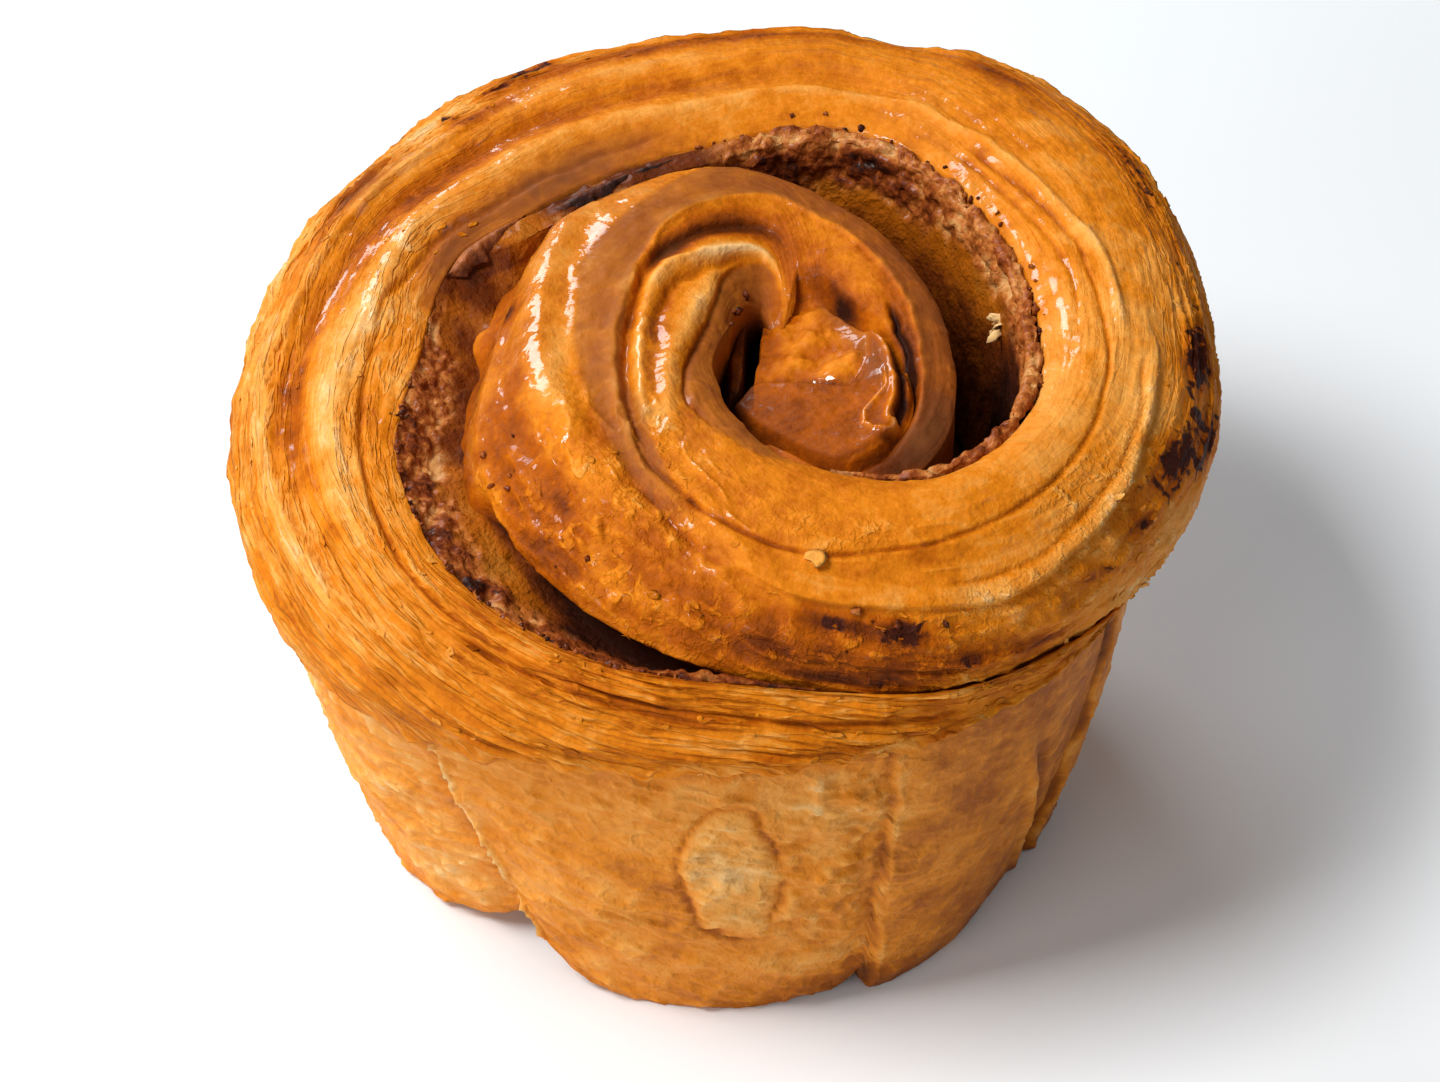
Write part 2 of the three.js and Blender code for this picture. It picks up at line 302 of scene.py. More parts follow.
def on_roll(turn, section):
    """Radius and height at a turn angle, as a point: near the middle the radius is from the eye."""
    radius, height = section
    angle = np.radians(turn)
    at_eye = radius < EYE_POINT
    radius = np.where(at_eye, 0, radius)
    pull = 1 - ramp(radius, *EYE_REACH)
    x = EYE[0] * pull + radius * np.cos(angle)
    y = EYE[1] * pull + radius * np.sin(angle)
    return np.stack([x, y, np.where(at_eye, EYE_FLOOR, height)], axis=-1)


def cloud(points, size, seed):
    """Soft noise from -1 to 1: seeded random values on a lattice of the given size, blended smoothly."""
    lattice = np.random.default_rng(seed).uniform(-1, 1, (32, 32, 32))
    at = np.asarray(points, float) / size
    cell = np.floor(at).astype(int)
    blend = at - cell
    blend = blend * blend * (3 - 2 * blend)
    total = 0
    for corner in np.ndindex(2, 2, 2):
        share = np.prod(np.where(corner, blend, 1 - blend), axis=-1)
        i, j, k = np.moveaxis((cell + corner) % 32, -1, 0)
        total = total + share * lattice[i, j, k]
    return total


def rough(points, size, seed):
    """Cloud noise in three sizes, each half of the last and half as strong."""
    return sum(cloud(points, size / 2**k, seed + k) / 2**k for k in range(3)) / 1.75


def shingles(turn, arc, spacing, seed):
    """Thin layers seen edge-on: how far each rises towards its edge, and 1 in the line of painted shadow
    under it.
    """
    slow = cloud(np.stack([turn / 30, arc / 6, 0 * turn], axis=-1), 1, seed)
    quick = cloud(np.stack([turn / 6, arc / 2, 0 * turn], axis=-1), 1, seed + 1)
    ragged = cloud(np.stack([turn / 2.4, arc / 0.8, 0 * turn], axis=-1), 1, seed + 3)
    layer, within = np.divmod(arc / spacing + 1.2 * slow + 0.4 * quick + 0.12 * ragged, 1)
    strong = ramp(cloud(np.stack([layer * 3.7, turn / 9, 0 * turn], axis=-1), 1, seed + 2), -0.3, 0.7)
    rise = strong * (within - ramp(within, 0.82, 1))
    return rise, strong * between(within, 0.84, 1.1, 0.06)


# What runs along the strip: its path across it, its height in millimetres by turn angle (below 0 for a
# furrow), its reach towards the eye and away from it in millimetres, and how much darker it is coloured.
FURROWS = (
    # the plug: groove beside its smooth end, sugary line, curl and crack round it
    (
        ((-20, 0.36), (0, 0.33), (30, 0.29), (65, 0.27)),
        ((-20, 0), (0, -0.5), (60, -0.6), (80, 0)), 0.8, 0.8, 0.3,
    ),
    (
        ((-45, 0.56), (0, 0.55), (20, 0.48), (50, 0.52)),
        ((-45, 0), (-30, 0.4), (50, 0.3), (65, 0)), 0.5, 0.5, -0.1,
    ),
    (((-50, 0.68), (-45, 0.65), (-35, 0.63), (-20, 0.64)), ((-52, 0), (-45, 0.5), (-20, 0)), 0.4, 0.4, -0.2),
    (
        ((-35, 0.76), (5, 0.745), (15, 0.72), (30, 0.73)),
        ((-38, 0), (-25, -1), (20, -1), (32, 0)), 0.5, 0.5, 0.5,
    ),
    (((35, 0.6), (50, 0.58), (60, 0.6)), ((33, 0), (45, -0.35), (62, 0)), 0.4, 0.4, 0.25),
    # the swirl's inner lip, under thick glaze with a painted sheen, and the pale crest beside it
    (
        ((85, 0.3), (95, 0.25), (120, 0.18), (150, 0.12), (190, 0.13), (215, 0.19), (230, 0.25), (262, 0.2),
         (280, 0.08)),
        ((90, 0), (110, -0.4), (230, -0.4), (262, 0)), 0.8, 0.3, 0.15,
    ),
    (
        ((110, 0.24), (130, 0.22), (150, 0.2), (180, 0.21), (210, 0.26), (230, 0.33), (245, 0.4)),
        ((105, 0), (125, 0.6), (220, 0.6), (250, 0)), 1.5, 1.6, -0.22,
    ),
    (
        ((98, 0.27), (110, 0.28), (120, 0.31), (140, 0.35), (155, 0.335), (170, 0.335), (190, 0.3),
         (205, 0.28)),
        ((92, 0), (105, -0.5), (170, -0.4), (205, 0)), 0.6, 0.6, 0.15,
    ),
    (
        ((82, 0.36), (90, 0.33), (100, 0.32), (120, 0.39), (140, 0.44), (155, 0.43), (180, 0.4),
         (200, 0.38), (215, 0.4), (230, 0.44)),
        ((78, 0), (90, 0.7), (215, 0.6), (240, 0)), 0.9, 0.6, -0.25,
    ),
    # the trench down the middle of the swirl, which runs on as a fine crease to the outer ring
    (
        ((82, 0.5), (95, 0.47), (125, 0.5), (140, 0.5), (150, 0.47), (180, 0.44), (200, 0.43), (215, 0.45),
         (225, 0.475), (235, 0.51), (245, 0.53)),
        ((76, 0), (95, -0.9), (225, -0.8), (250, 0)), 1, 0.5, 0.2,
    ),
    (
        ((235, 0.52), (255, 0.52), (285, 0.5), (300, 0.46), (320, 0.38), (340, 0.255), (360, 0.19),
         (380, 0.15), (400, 0.09), (415, 0.07)),
        ((232, 0), (245, -0.4), (400, -0.35), (418, 0)), 0.25, 0.25, 0.2,
    ),
    # the edge of the glazed band, which carries a painted sheen, and the crest beyond it
    (
        ((-40, 0.8), (30, 0.8), (60, 0.79), (80, 0.73), (95, 0.64), (120, 0.6), (135, 0.52), (150, 0.5),
         (175, 0.495), (200, 0.47), (220, 0.49), (240, 0.54), (255, 0.55)),
        ((-45, 0), (-30, 0.3), (240, 0.35), (262, 0)), 0.3, 0.9, -0.12,
    ),
    (
        ((130, 0.97), (150, 0.89), (180, 0.8), (200, 0.72), (215, 0.67), (240, 0.67), (262, 0.72)),
        ((118, 0), (140, 1.3), (200, 1.3), (240, 0.8), (268, 0)), 1.8, 2.6, -0.06,
    ),
    (((235, 0.6), (250, 0.61), (262, 0.65), (275, 0.67)), ((232, 0), (245, -0.35), (278, 0)), 0.4, 0.3, 0.15),
    # the flaky ridge round the front, with its drop on the outer side, and the line just inside it
    (
        ((268, 0.64), (285, 0.68), (305, 0.68), (312, 0.655), (320, 0.585), (330, 0.5), (340, 0.405),
         (350, 0.36), (364, 0.33)),
        ((262, 0), (280, 0.8), (330, 0.8), (352, 0.45), (368, 0)), 1.7, 0.22, -0.12,
    ),
    (
        ((300, 0.62), (312, 0.6), (320, 0.53), (330, 0.455), (340, 0.375), (352, 0.325)),
        ((296, 0), (306, -0.35), (345, -0.4), (356, 0)), 0.25, 0.25, 0.15,
    ),
    # the outer ring: thin layer lines, the crest beside them, and the groove with the torn edge beyond it
    (
        ((360, 0.12), (380, 0.1), (400, 0.06), (420, 0.04)),
        ((355, 0), (370, -0.3), (405, -0.3), (424, 0)), 0.3, 0.3, 0.15,
    ),
    (
        ((352, 0.27), (370, 0.23), (385, 0.17), (400, 0.135), (415, 0.1), (430, 0.09), (465, 0.1)),
        ((350, 0), (365, 0.5), (440, 0.4), (480, 0)), 0.7, 0.35, -0.15,
    ),
    (
        ((420, 0.12), (440, 0.16), (475, 0.175), (500, 0.2), (520, 0.225), (530, 0.27), (543, 0.33),
         (560, 0.35), (575, 0.37), (588, 0.39)),
        ((414, 0), (432, -0.7), (500, -1.2), (548, -1.1), (578, -0.35), (595, 0)), 2.2, 1.7, 0.15,
    ),
    (
        ((485, 0.27), (500, 0.29), (515, 0.3), (530, 0.35), (543, 0.41), (560, 0.43), (580, 0.45),
         (605, 0.45)),
        ((480, 0), (495, 0.7), (570, 0.7), (612, 0)), 0.3, 2, -0.1,
    ),
    (
        ((455, 0.1), (480, 0.12), (530, 0.12), (545, 0.16)),
        ((450, 0), (470, 0.5), (530, 0.5), (550, 0)), 1.4, 1, -0.14,
    ),
    (
        ((460, 0.04), (500, 0.045), (520, 0.06), (530, 0.1), (560, 0.1), (575, 0.13), (590, 0.19),
         (600, 0.24), (615, 0.32), (630, 0.4), (645, 0.48), (658, 0.56)),
        ((455, 0), (475, -0.35), (650, -0.45), (664, 0)), 0.3, 0.25, 0.17,
    ),
    (
        ((588, 0.27), (600, 0.31), (615, 0.38), (630, 0.45), (645, 0.51)),
        ((584, 0), (600, -0.4), (652, 0)), 0.3, 0.3, 0.2,
    ),
    (
        ((510, 0.1), (540, 0.17), (555, 0.2), (575, 0.24), (590, 0.3)),
        ((500, 0), (540, 0.6), (580, 0.5), (598, 0)), 2, 2, -0.18,
    ),
)


def furrows(turn, across, length):
    """Relief in millimetres and extra darkening from what runs along the strip: a bell curve over each path.
    """
    relief = np.zeros(across.shape)
    baking_and_shade = np.zeros(across.shape)
    for number, (path, height, inside, outside, darker) in enumerate(FURROWS):
        wander = 0.006 * cloud(np.stack([turn / 6, turn * 0 + number, turn * 0], axis=-1), 1, 40)
        off = (across - through(*path)(turn) - wander) * length
        here = np.exp(-((off / np.where(off < 0, inside, outside)) ** 2))
        tall = through(*height)(turn)
        relief += tall * here
        baking_and_shade += darker * here * np.abs(tall) / max(abs(h) for _, h in height)
    return relief, baking_and_shade


def between(x, start, end, soft):
    """1 from start to end and 0 outside, with soft edges."""
    return ramp(x, start - soft, start + soft) * (1 - ramp(x, end - soft, end + soft))


def bell(distance, reach):
    """A bell curve: 1 at no distance, and nearly 0 from twice the reach on."""
    return np.exp(-((distance / reach) ** 2))


# Where the strip is baked, glazed or painted with light, shade or sheen unlike its golden ground: turn
# angle, across, half sizes in degrees and across, then how much darker it is baked or shaded, how thick
# its glaze and painted sheen is and how charred it is.
PATCHES = (
    (-20, 0.32, 45, 0.06, 0.08, 0, 0),  # groove over the plug's smooth end
    (20, 0.47, 30, 0.05, 0.16, 0, 0.45),  # cinnamon that boiled out along the plug
    (45, 0.58, 14, 0.03, 0.12, 0, 0.3),
    (0, 0.76, 28, 0.03, 0.14, 0, 0.3),
    (45, 0.7, 30, 0.06, -0.16, 0, 0),
    (-38, 0.91, 18, 0.09, 0.4, 0.2, 0.3),  # dark end of the glazed band in the gap
    # the hollow behind the eye is painted darker as shade
    (104, 0.5, 20, 0.08, 0.22, 0.1, 0),  # hollow behind the eye
    (108, 0.62, 18, 0.06, -0.12, 0, 0),
    # low on the front of the swirl, where it turns down and away from the light: painted shade
    (286, 0.9, 22, 0.08, 0.2, 0, 0),  # low on the front of the swirl
    (505, 0.2, 22, 0.05, 0.12, 0, 0),
    (126, 0.49, 9, 0.04, 0.2, 0.7, 0.1),
    # the crest over the eye, painted paler as light
    (100, 0.34, 22, 0.05, -0.3, 0, 0),
    (165, 0.2, 40, 0.06, -0.1, 0, 0),
    (180, 0.4, 40, 0.03, -0.12, 0, 0),
    (215, 0.42, 28, 0.05, -0.16, 0, 0),  # light crest beside the trench
    (190, 0.69, 35, 0.06, -0.16, 0, 0),
    (150, 0.9, 28, 0.1, -0.08, 0.25, 0),
    (190, 0.86, 16, 0.08, 0.12, 0, 0),
    (228, 0.8, 10, 0.05, 0.12, 0, 0.25),
    (234, 0.93, 18, 0.06, 0.14, 0, 0.3),  # flecked flank of the swirl
    (268, 0.76, 25, 0.12, 0.04, 0, 0.12),
    (285, 0.75, 4, 0.035, 0.22, 0, 0.7),  # burnt spots under the flaky ridge
    (293.5, 0.77, 3.5, 0.045, 0.3, 0, 1.1),
    (301, 0.88, 2.5, 0.03, 0.2, 0, 0.6),
    (286, 0.96, 9, 0.03, 0.2, 0, 0.6),
    (311, 0.9, 5, 0.04, 0.2, 0, 0.5),
    (322, 0.68, 22, 0.12, 0.02, 0, 0.1),
    (358, 0.5, 8, 0.06, 0.16, 0, 0.95),  # burnt patches on the right of the lip
    (340, 0.54, 7, 0.06, 0.16, 0, 0.85),
    (347, 0.64, 6, 0.06, 0.2, 0, 0.7),
    (331, 0.63, 4, 0.03, 0.12, 0, 0.6),
    (322, 0.72, 4, 0.03, 0.12, 0, 0.5),
    (376, 0.46, 4, 0.03, 0.1, 0, 0.5),
    (350, 0.58, 22, 0.12, 0.02, 0, 0.3),
    (490, 0.4, 8, 0.06, -0.35, 0, 0),  # pale puff at the back left of the lip, and the brown skin beside it
    (505, 0.36, 6, 0.07, 0.12, 0.9, 0),
    (489, 0.36, 1.2, 0.03, 0.3, 0, 0.7),
    (480, 0.38, 4, 0.025, 0.25, 0, 0.6),
    (475, 0.45, 4, 0.03, 0.2, 0, 1),
    (541, 0.66, 9, 0.05, 0.16, 0.6, 0.2),
    (485, 0.03, 22, 0.05, 0.1, 1.5, 0),
    # low on the front of the swirl: painted shade
    (283, 0.84, 20, 0.11, 0.16, 0, 0),
    (515, 0.015, 13, 0.03, 0.15, 1.2, 0.1),
    (565, 0.73, 8, 0.06, 0.08, 0, 0),
    (166, 1.02, 4, 0.08, 0.3, 0, 0.9),
    (205, 0.88, 14, 0.07, 0.05, 0, 0.3),
    (392, 0.43, 8, 0.06, 0.16, 0, 0.6),
    (415, 0.33, 6, 0.05, 0.2, 0, 0.5),
    (455, 0.36, 25, 0.05, 0.2, 0, 0.35),
    (450, 0.1, 20, 0.04, -0.08, 0, 0),
    (470, 0.27, 30, 0.04, -0.12, 0, 0),
    (485, 0.29, 6, 0.03, 0.3, 0, 0.4),
    (508, 0.38, 10, 0.05, 0.2, 0.3, 0.2),
    (500, 0.16, 40, 0.05, 0.06, 0, 0),
    (548, 0.31, 20, 0.045, 0.1, 0, 0),  # syrup in the outer ring's groove
    (545, 0.18, 18, 0.05, -0.07, 0, 0),
    (540, 0.5, 30, 0.08, -0.08, 0, 0),
    (572, 0.42, 16, 0.08, -0.08, 0, 0),
    # the crevice between the swirl and the lip at the front: painted shade, with a little char
    (618, 0.05, 14, 0.04, 0.12, 0, 0.2),
    (600, 0.62, 30, 0.1, -0.03, 0, 0),
    (632, 0.6, 24, 0.1, -0.1, 0, 0),  # floury layers low on the front of the lip
    (640, 0.93, 40, 0.08, -0.08, 0, 0),
    # the lip's face low on the front, turned down: painted shade
    (640, 0.78, 40, 0.05, 0.1, 0, 0),
    (655, 0.14, 30, 0.12, -0.1, 0, 0),
)
ground_toast = through(
    (-45, 0.64), (60, 0.6), (90, 0.54), (120, 0.46), (200, 0.52), (240, 0.52), (320, 0.37), (345, 0.29),
    (380, 0.38), (430, 0.43), (500, 0.4), (560, 0.39), (600, 0.48), (660, 0.49),
)
# where the glazed bands lie, whose dark mauve is partly the glaze's colour and partly a painted sheen
lip_glaze_and_sheen_end = through(
    (85, 0.3), (95, 0.25), (120, 0.18), (150, 0.12), (190, 0.13), (215, 0.19), (230, 0.25), (262, 0.2),
    (280, 0.08)
)
band_glaze_and_sheen_start = through(
    (-40, 0.8), (60, 0.79), (80, 0.73), (95, 0.64), (120, 0.6), (135, 0.55), (160, 0.49), (200, 0.44),
    (220, 0.42), (245, 0.5), (260, 0.56)
)
band_glaze_and_sheen_end = through(
    (60, 1.2), (90, 1.05), (110, 0.85), (125, 0.78), (150, 0.76), (160, 0.71), (180, 0.655), (200, 0.59),
    (215, 0.575), (255, 0.61)
)


def tones(turn, across):
    """How dark the strip is baked or painted in shade over its ground, how thickly it is glazed and painted
    with a sheen, and how charred it is.
    """
    baked = np.zeros(across.shape)
    glaze_and_sheen_amount = between(turn, 86, 276, 8) * (1 - ramp(across - lip_glaze_and_sheen_end(turn), -0.02, 0.01))
    band = between(turn, -45, 250, 10)
    band = band * between(across - band_glaze_and_sheen_start(turn), 0, 2, 0.012)
    glaze_and_sheen_amount = np.maximum(glaze_and_sheen_amount, band * (1 - ramp(across - band_glaze_and_sheen_end(turn), -0.02, 0.02)))
    charred = np.zeros(across.shape)
    for at, where, long, wide, darker, glaze_and_sheen, char in PATCHES:
        here = np.exp(-(((turn - at) / long) ** 2) - ((across - where) / wide) ** 2)
        baked += darker * here
        glaze_and_sheen_amount += glaze_and_sheen * here
        charred += char * here
    return baked, glaze_and_sheen_amount, charred


# The sheet's inner end, which fills the eye: its middle and its reach in each direction from there.
END_CENTRE = (8, -3)
end_reach = through(
    (0, 9.5), (20, 8.3), (45, 8.1), (65, 8.8), (81, 11), (95, 11.8), (108, 13.2), (117, 13.8), (126, 11.9),
    (144, 9.5), (176, 8), (206, 8.8), (227, 9.6), (247, 11), (263, 12.9), (275, 15.5), (284, 17.1),
    (296, 16.8), (304, 15.7), (315, 14.5), (327, 13), (341, 11.2), (360, 9.5),
)


def end_share(x, y):
    """How far out from the middle of the inner end a place is: 1 on its outline."""
    x, y = x - END_CENTRE[0], y - END_CENTRE[1]
    return np.hypot(x, y) / end_reach(np.mod(np.degrees(np.arctan2(y, x)), 360))


WALL_ROWS = 7
GAP_ROWS = 14


def strip_grid(first, last, step, crown_rows):
    """Turn angle, across and points of every cross-section, from a gap's floor over the crown to the next."""
    turn = np.arange(first, last + 1e-6, step)[:, None]
    up = np.linspace(0, 1, WALL_ROWS + 1)[None, :-1]
    over = np.linspace(0, 1, crown_rows + 1)[None, :-1]
    down = np.linspace(0, 1, GAP_ROWS + 1)[None, :]
    section = np.concatenate(
        [
            on_roll(turn, outer_wall(turn, up)),
            on_roll(turn, crown(turn, over)),
            on_roll(turn, inner_wall(turn + 360, down)),
        ],
        axis=1,
    )
    across = np.concatenate([up - 1, over, down + 1], axis=1) + 0 * turn
    return turn + 0 * across, across, section


def facing(points):
    """Outward normals of a grid of points, from the slopes along its rows and its columns."""
    normal = np.cross(np.gradient(points, axis=0), np.gradient(points, axis=1))
    return -normal / np.maximum(np.linalg.norm(normal, axis=-1, keepdims=True), 1e-9)


def grid_faces(rows, columns):
    """Triangles of a rows x columns grid of points, numbered row by row."""
    i, j = np.meshgrid(np.arange(rows - 1), np.arange(columns - 1), indexing="ij")
    corner = (i * columns + j).ravel()
    ahead = corner + columns
    lower = np.stack([corner, corner + 1, ahead + 1], 1)
    upper = np.stack([corner, ahead + 1, ahead], 1)
    return np.concatenate([lower, upper])


def welded(points, faces):
    """Merges points in one place and drops the faces that this closes up, so poles and seams are whole."""
    _, first, where = np.unique(np.round(points, 4), axis=0, return_index=True, return_inverse=True)
    faces = where.ravel()[faces]
    a, b, c = faces.T
    return first, faces[(a != b) & (b != c) & (c != a)]


def set_values(piece, name, values):
    """Stores one value a point on a piece, for its material to read."""
    piece.data.attributes.new(name, "FLOAT", "POINT").data.foreach_set("value", values.astype(np.float32))


# how far the swirl's flank is drawn in below its edge on the front left, where it overhangs the open gap
undercut = through((210, 0), (222, 2.6), (240, 3.4), (250, 1.6), (262, 0.9), (272, 0))


# where the top layers are torn into flakes: how strongly, first and last turn angle and their soft edge,
# and the same across the strip
TORN = (
    (0.2, 335, 500, 20, 0, 0.3, 0.05),
    (0.5, 500, 700, 20, 0, 0.2, 0.04),
    (0.8, 480, 545, 10, 0.32, 0.62, 0.04),
    (1, 570, 690, 15, 0.14, 1.02, 0.07),
    (1, 505, 572, 15, 0.38, 1, 0.05),
    (1, 345, 505, 25, 0.36, 0.95, 0.08),
    (1, 280, 345, 15, 0.86, 1.05, 0.05),
)


def roll_part(name, first, last, step, crown_rows, material):
    """One length of the roll: its cross-sections, moved along their normals by the sum of all its relief."""
    turn, across, points = strip_grid(first, last, step, crown_rows)
    length = np.linalg.norm(np.diff(points, axis=1), axis=-1)
    length = length[:, WALL_ROWS : WALL_ROWS + crown_rows].sum(axis=1, keepdims=True)
    on_crown = ramp(across, -0.15, 0) * (1 - ramp(across, 1, 1.15))
    relief, baking_and_shade = furrows(turn, across, length)
    # edges of the torn layers, coarse and fine
    torn = 0
    for strength, start, end, soft, inner, outer, edge in TORN:
        torn = torn + strength * between(turn, start, end, soft) * between(across, inner, outer, edge)
    rise, shade_line = shingles(turn, across * length, 1.1, 50)
    relief = relief + 0.6 * torn * rise
    rise_2, shade_line_2 = shingles(turn, across * length, 0.55, 60)
    relief = relief + 0.25 * torn * rise_2
    # each layer painted paler towards its raised edge as light, and darker in the line under it as its shadow
    baking_and_shade = baking_and_shade + torn * (0.1 * shade_line + 0.05 * shade_line_2 - 0.1 * rise)
    # thin layers along the strip, blisters, and crisp folds on the swirl's flank
    from_eye = np.hypot(points[..., 0] - EYE[0], points[..., 1] - EYE[1])
    near_eye = ramp(from_eye, 1, 4)
    strip = np.stack([turn * 0.45, across * length, 0 * turn], axis=-1)
    layers = (cloud(strip / (14, 0.7, 1), 1, 5) + 0.6 * cloud(strip / (9, 0.33, 1), 1, 6)) * (0.3 + torn)
    layers = layers * on_crown
    blisters = np.maximum(cloud(points, 1.5, 7), 0) ** 2 + np.maximum(cloud(points, 0.9, 8) - 0.1, 0) ** 2
    flank = between(turn, 225, 330, 15) * between(across, 0.6, 1, 0.08)
    flank_crisp = between(turn, 205, 345, 15) * between(across, 0.35, 1.1, 0.08)
    folds = (1 - np.abs(cloud(strip / (4, 1.4, 1), 1, 12))) ** 4
    folds = folds + 0.4 * (1 - np.abs(cloud(points, 1.4, 13))) ** 4
    relief = relief * on_crown + 0.09 * layers + (0.2 + 0.5 * flank) * blisters * on_crown
    relief = relief + 0.34 * folds * flank_crisp * ramp(cloud(points, 5, 14), -0.6, 0.4)
    # the lumpy shelf and the lobe that bulge into the gap, and the ragged fringe that hangs over it
    shelf = between(turn, 140, 225, 12) * between(across, 1.15, 1.7, 0.08)
    lobe = bell((turn - 166) / 6, 1) * between(across, 1.3, 1.75, 0.12)
    relief = relief + 0.5 * shelf * rough(points, 2.6, 15) + 1.1 * lobe
    fringe = between(turn, 352, 700, 6) * between(across, 0.93, 1.03, 0.03)
    ragged = sum(k * cloud(strip * (1, 0, 0), s, 16) for s, k in ((0.9, 0.4), (1.9, 0.3), (5, 0.6)))
    hang = fringe * (0.45 + ragged)
    relief = relief + 0.35 * fringe
    relief = relief + 0.25 * rough(points, 5, 9)
    points = points + facing(points) * (relief * near_eye)[..., None]
    # the flank drawn in under its overhang, and the plug let down under the inner end
    drawn_in = undercut(turn) * ramp(across, 0.96, 1.16)
    drawn_in = drawn_in * (1 - ramp(across, 1.55, 1.68)) / np.maximum(from_eye, 1)
    points[..., 0] -= drawn_in * (points[..., 0] - EYE[0])
    points[..., 1] -= drawn_in * (points[..., 1] - EYE[1])
    points[..., 2] -= np.maximum(hang, 0)
    under_end = (turn < 75) * (points[..., 2] > 50)
    under_end = under_end * (1 - ramp(end_share(points[..., 0], points[..., 1]), 0.92, 1.08))
    points[..., 2] -= 2.4 * under_end
    # how darkly it is baked, and where shade is painted in: darker in its hollows, down in the eye's hole and
    # deep on the gap's walls
    darker, glaze_and_sheen_amount, charred = tones(turn, across)
    toast_and_shading = ground_toast(turn) + (baking_and_shade + darker) * on_crown + 0.12 * rough(points, 4, 11)
    toast_and_shading = toast_and_shading - 0.08 * flank * blisters - 0.1 * flank_crisp * (folds - 0.4) + 0.16 * shelf - 0.25 * lobe
    # the flank's drawn-in underside, beneath its overhang, painted darker as its shadow
    toast_and_shading = toast_and_shading + 0.4 * between(turn, 222, 275, 8) * between(across, 1.05, 1.7, 0.06)
    # painted shade: darker down in the eye's hole and deep on the gap's walls
    deep = ramp(60.5 - points[..., 2], 0, 8) * (1 - ramp(from_eye, 9, 14)) * (across < 0.05)
    toast_and_shading = toast_and_shading + 0.55 * deep + 0.3 * (1 - on_crown) * ramp(56 - points[..., 2], 0, 8)
    # how wet the syrup looks: most on the crests, none on torn, charred or low-lying dough
    gloss = 0.25 + 0.75 * between(turn, 110, 212, 15) * between(across, 0.68, 1.2, 0.06)
    gloss = gloss + 0.5 * between(turn, 160, 258, 12) * between(across, 0.2, 0.44, 0.05)
    syrup = ramp(cloud(strip / (7, 0.5, 1), 1, 44) + 0.4 * cloud(points, 1.2, 45), 0.05, 0.5)
    gloss = gloss + (0.7 * syrup - 0.1) * between(turn, 350, 560, 20)
    gloss = gloss + 0.2 * flank_crisp * ramp(folds, 0.3, 0.8)
    gloss = gloss - 0.12 * between(turn, 235, 345, 10) * between(across, 0.4, 1, 0.1)
    gloss = gloss * (1 - 0.7 * np.clip(glaze_and_sheen_amount, 0, 1)) * (1 - ramp(across, 1.15, 1.3) * (1 - 0.7 * lobe))
    gloss = gloss * (1 - 0.9 * ramp(torn, 0.3, 1)) * (1 - 0.8 * ramp(charred, 0, 0.5))
    gloss = gloss * ramp(points[..., 2], 46, 54)
    crisp = 0.1 + 0.9 * flank_crisp * ramp(cloud(points, 6, 18), -0.6, 0.3)
    layered = 0.15 + 0.7 * ramp(torn, 0, 0.8) + 0.4 * between(turn, 480, 660, 20) * on_crown

    kept, faces = welded(points.reshape(-1, 3), grid_faces(*turn.shape))
    piece = new_piece(name, points.reshape(-1, 3)[kept], faces, material)
    set_values(piece, "toast_and_shading", toast_and_shading.ravel()[kept])
    set_values(piece, "glaze_and_sheen", (glaze_and_sheen_amount * on_crown).ravel()[kept])
    set_values(piece, "char", (charred * on_crown).ravel()[kept])
    set_values(piece, "gloss", gloss.ravel()[kept])
    set_values(piece, "crisp", (crisp + 0 * gloss).ravel()[kept])
    set_values(piece, "layered", (layered + 0 * gloss).ravel()[kept])
    piece.data.attributes.new("strip", "FLOAT_VECTOR", "POINT").data.foreach_set(
        "vector", (strip * MM).reshape(-1, 3)[kept].astype(np.float32).ravel()
    )
    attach(piece, "root")
    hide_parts("dough")
    return turn, across, points, toast_and_shading


def add_node(tree, kind, *links, **settings):
    """A node whose sockets or properties are set by name, with links given as (output, input name) pairs."""
    node = tree.nodes.new(kind)
    for key, value in settings.items():
        if key in node.inputs:
            node.inputs[key].default_value = value
        else:
            setattr(node, key, value)
    for output, name in links:
        tree.links.new(output, node.inputs[name])
    return node


def read_value(tree, name):
    """A value that is stored at every point of a piece, by name."""
    return add_node(tree, "ShaderNodeAttribute", attribute_name=name).outputs["Fac"]


def noise(tree, place, size, detail=3, distortion=0.0):
    """Noise of a given grain size in metres, on a place vector."""
    node = add_node(tree, "ShaderNodeTexNoise", (place, "Vector"), Scale=1 / size, Detail=detail,
                    Distortion=distortion)
    return node.outputs["Fac"]


def stretch(tree, place, by):
    """A place vector with each of its three parts multiplied, so that a pattern on it gets drawn out."""
    node = add_node(tree, "ShaderNodeVectorMath", (place, 0), operation="MULTIPLY")
    node.inputs[1].default_value = by
    return node.outputs[0]


def maths(tree, operation, a, b, clamp=False):
    """One sum on two values, each a socket or a number."""
    node = tree.nodes.new("ShaderNodeMath")
    node.operation = operation
    node.use_clamp = clamp
    for socket, value in zip(node.inputs, (a, b)):
        if isinstance(value, (int, float)):
            socket.default_value = value
        else:
            tree.links.new(value, socket)
    return node.outputs[0]


def colours(tree, value, stops):
    """A colour ramp over a value, from (place, colour) stops."""
    node = add_node(tree, "ShaderNodeValToRGB", (value, "Fac"))
    for i, (place, colour) in enumerate(stops):
        stop = node.color_ramp.elements[i] if i < 2 else node.color_ramp.elements.new(place)
        stop.position = place
        stop.color = (*colour, 1)
    return node.outputs["Color"]


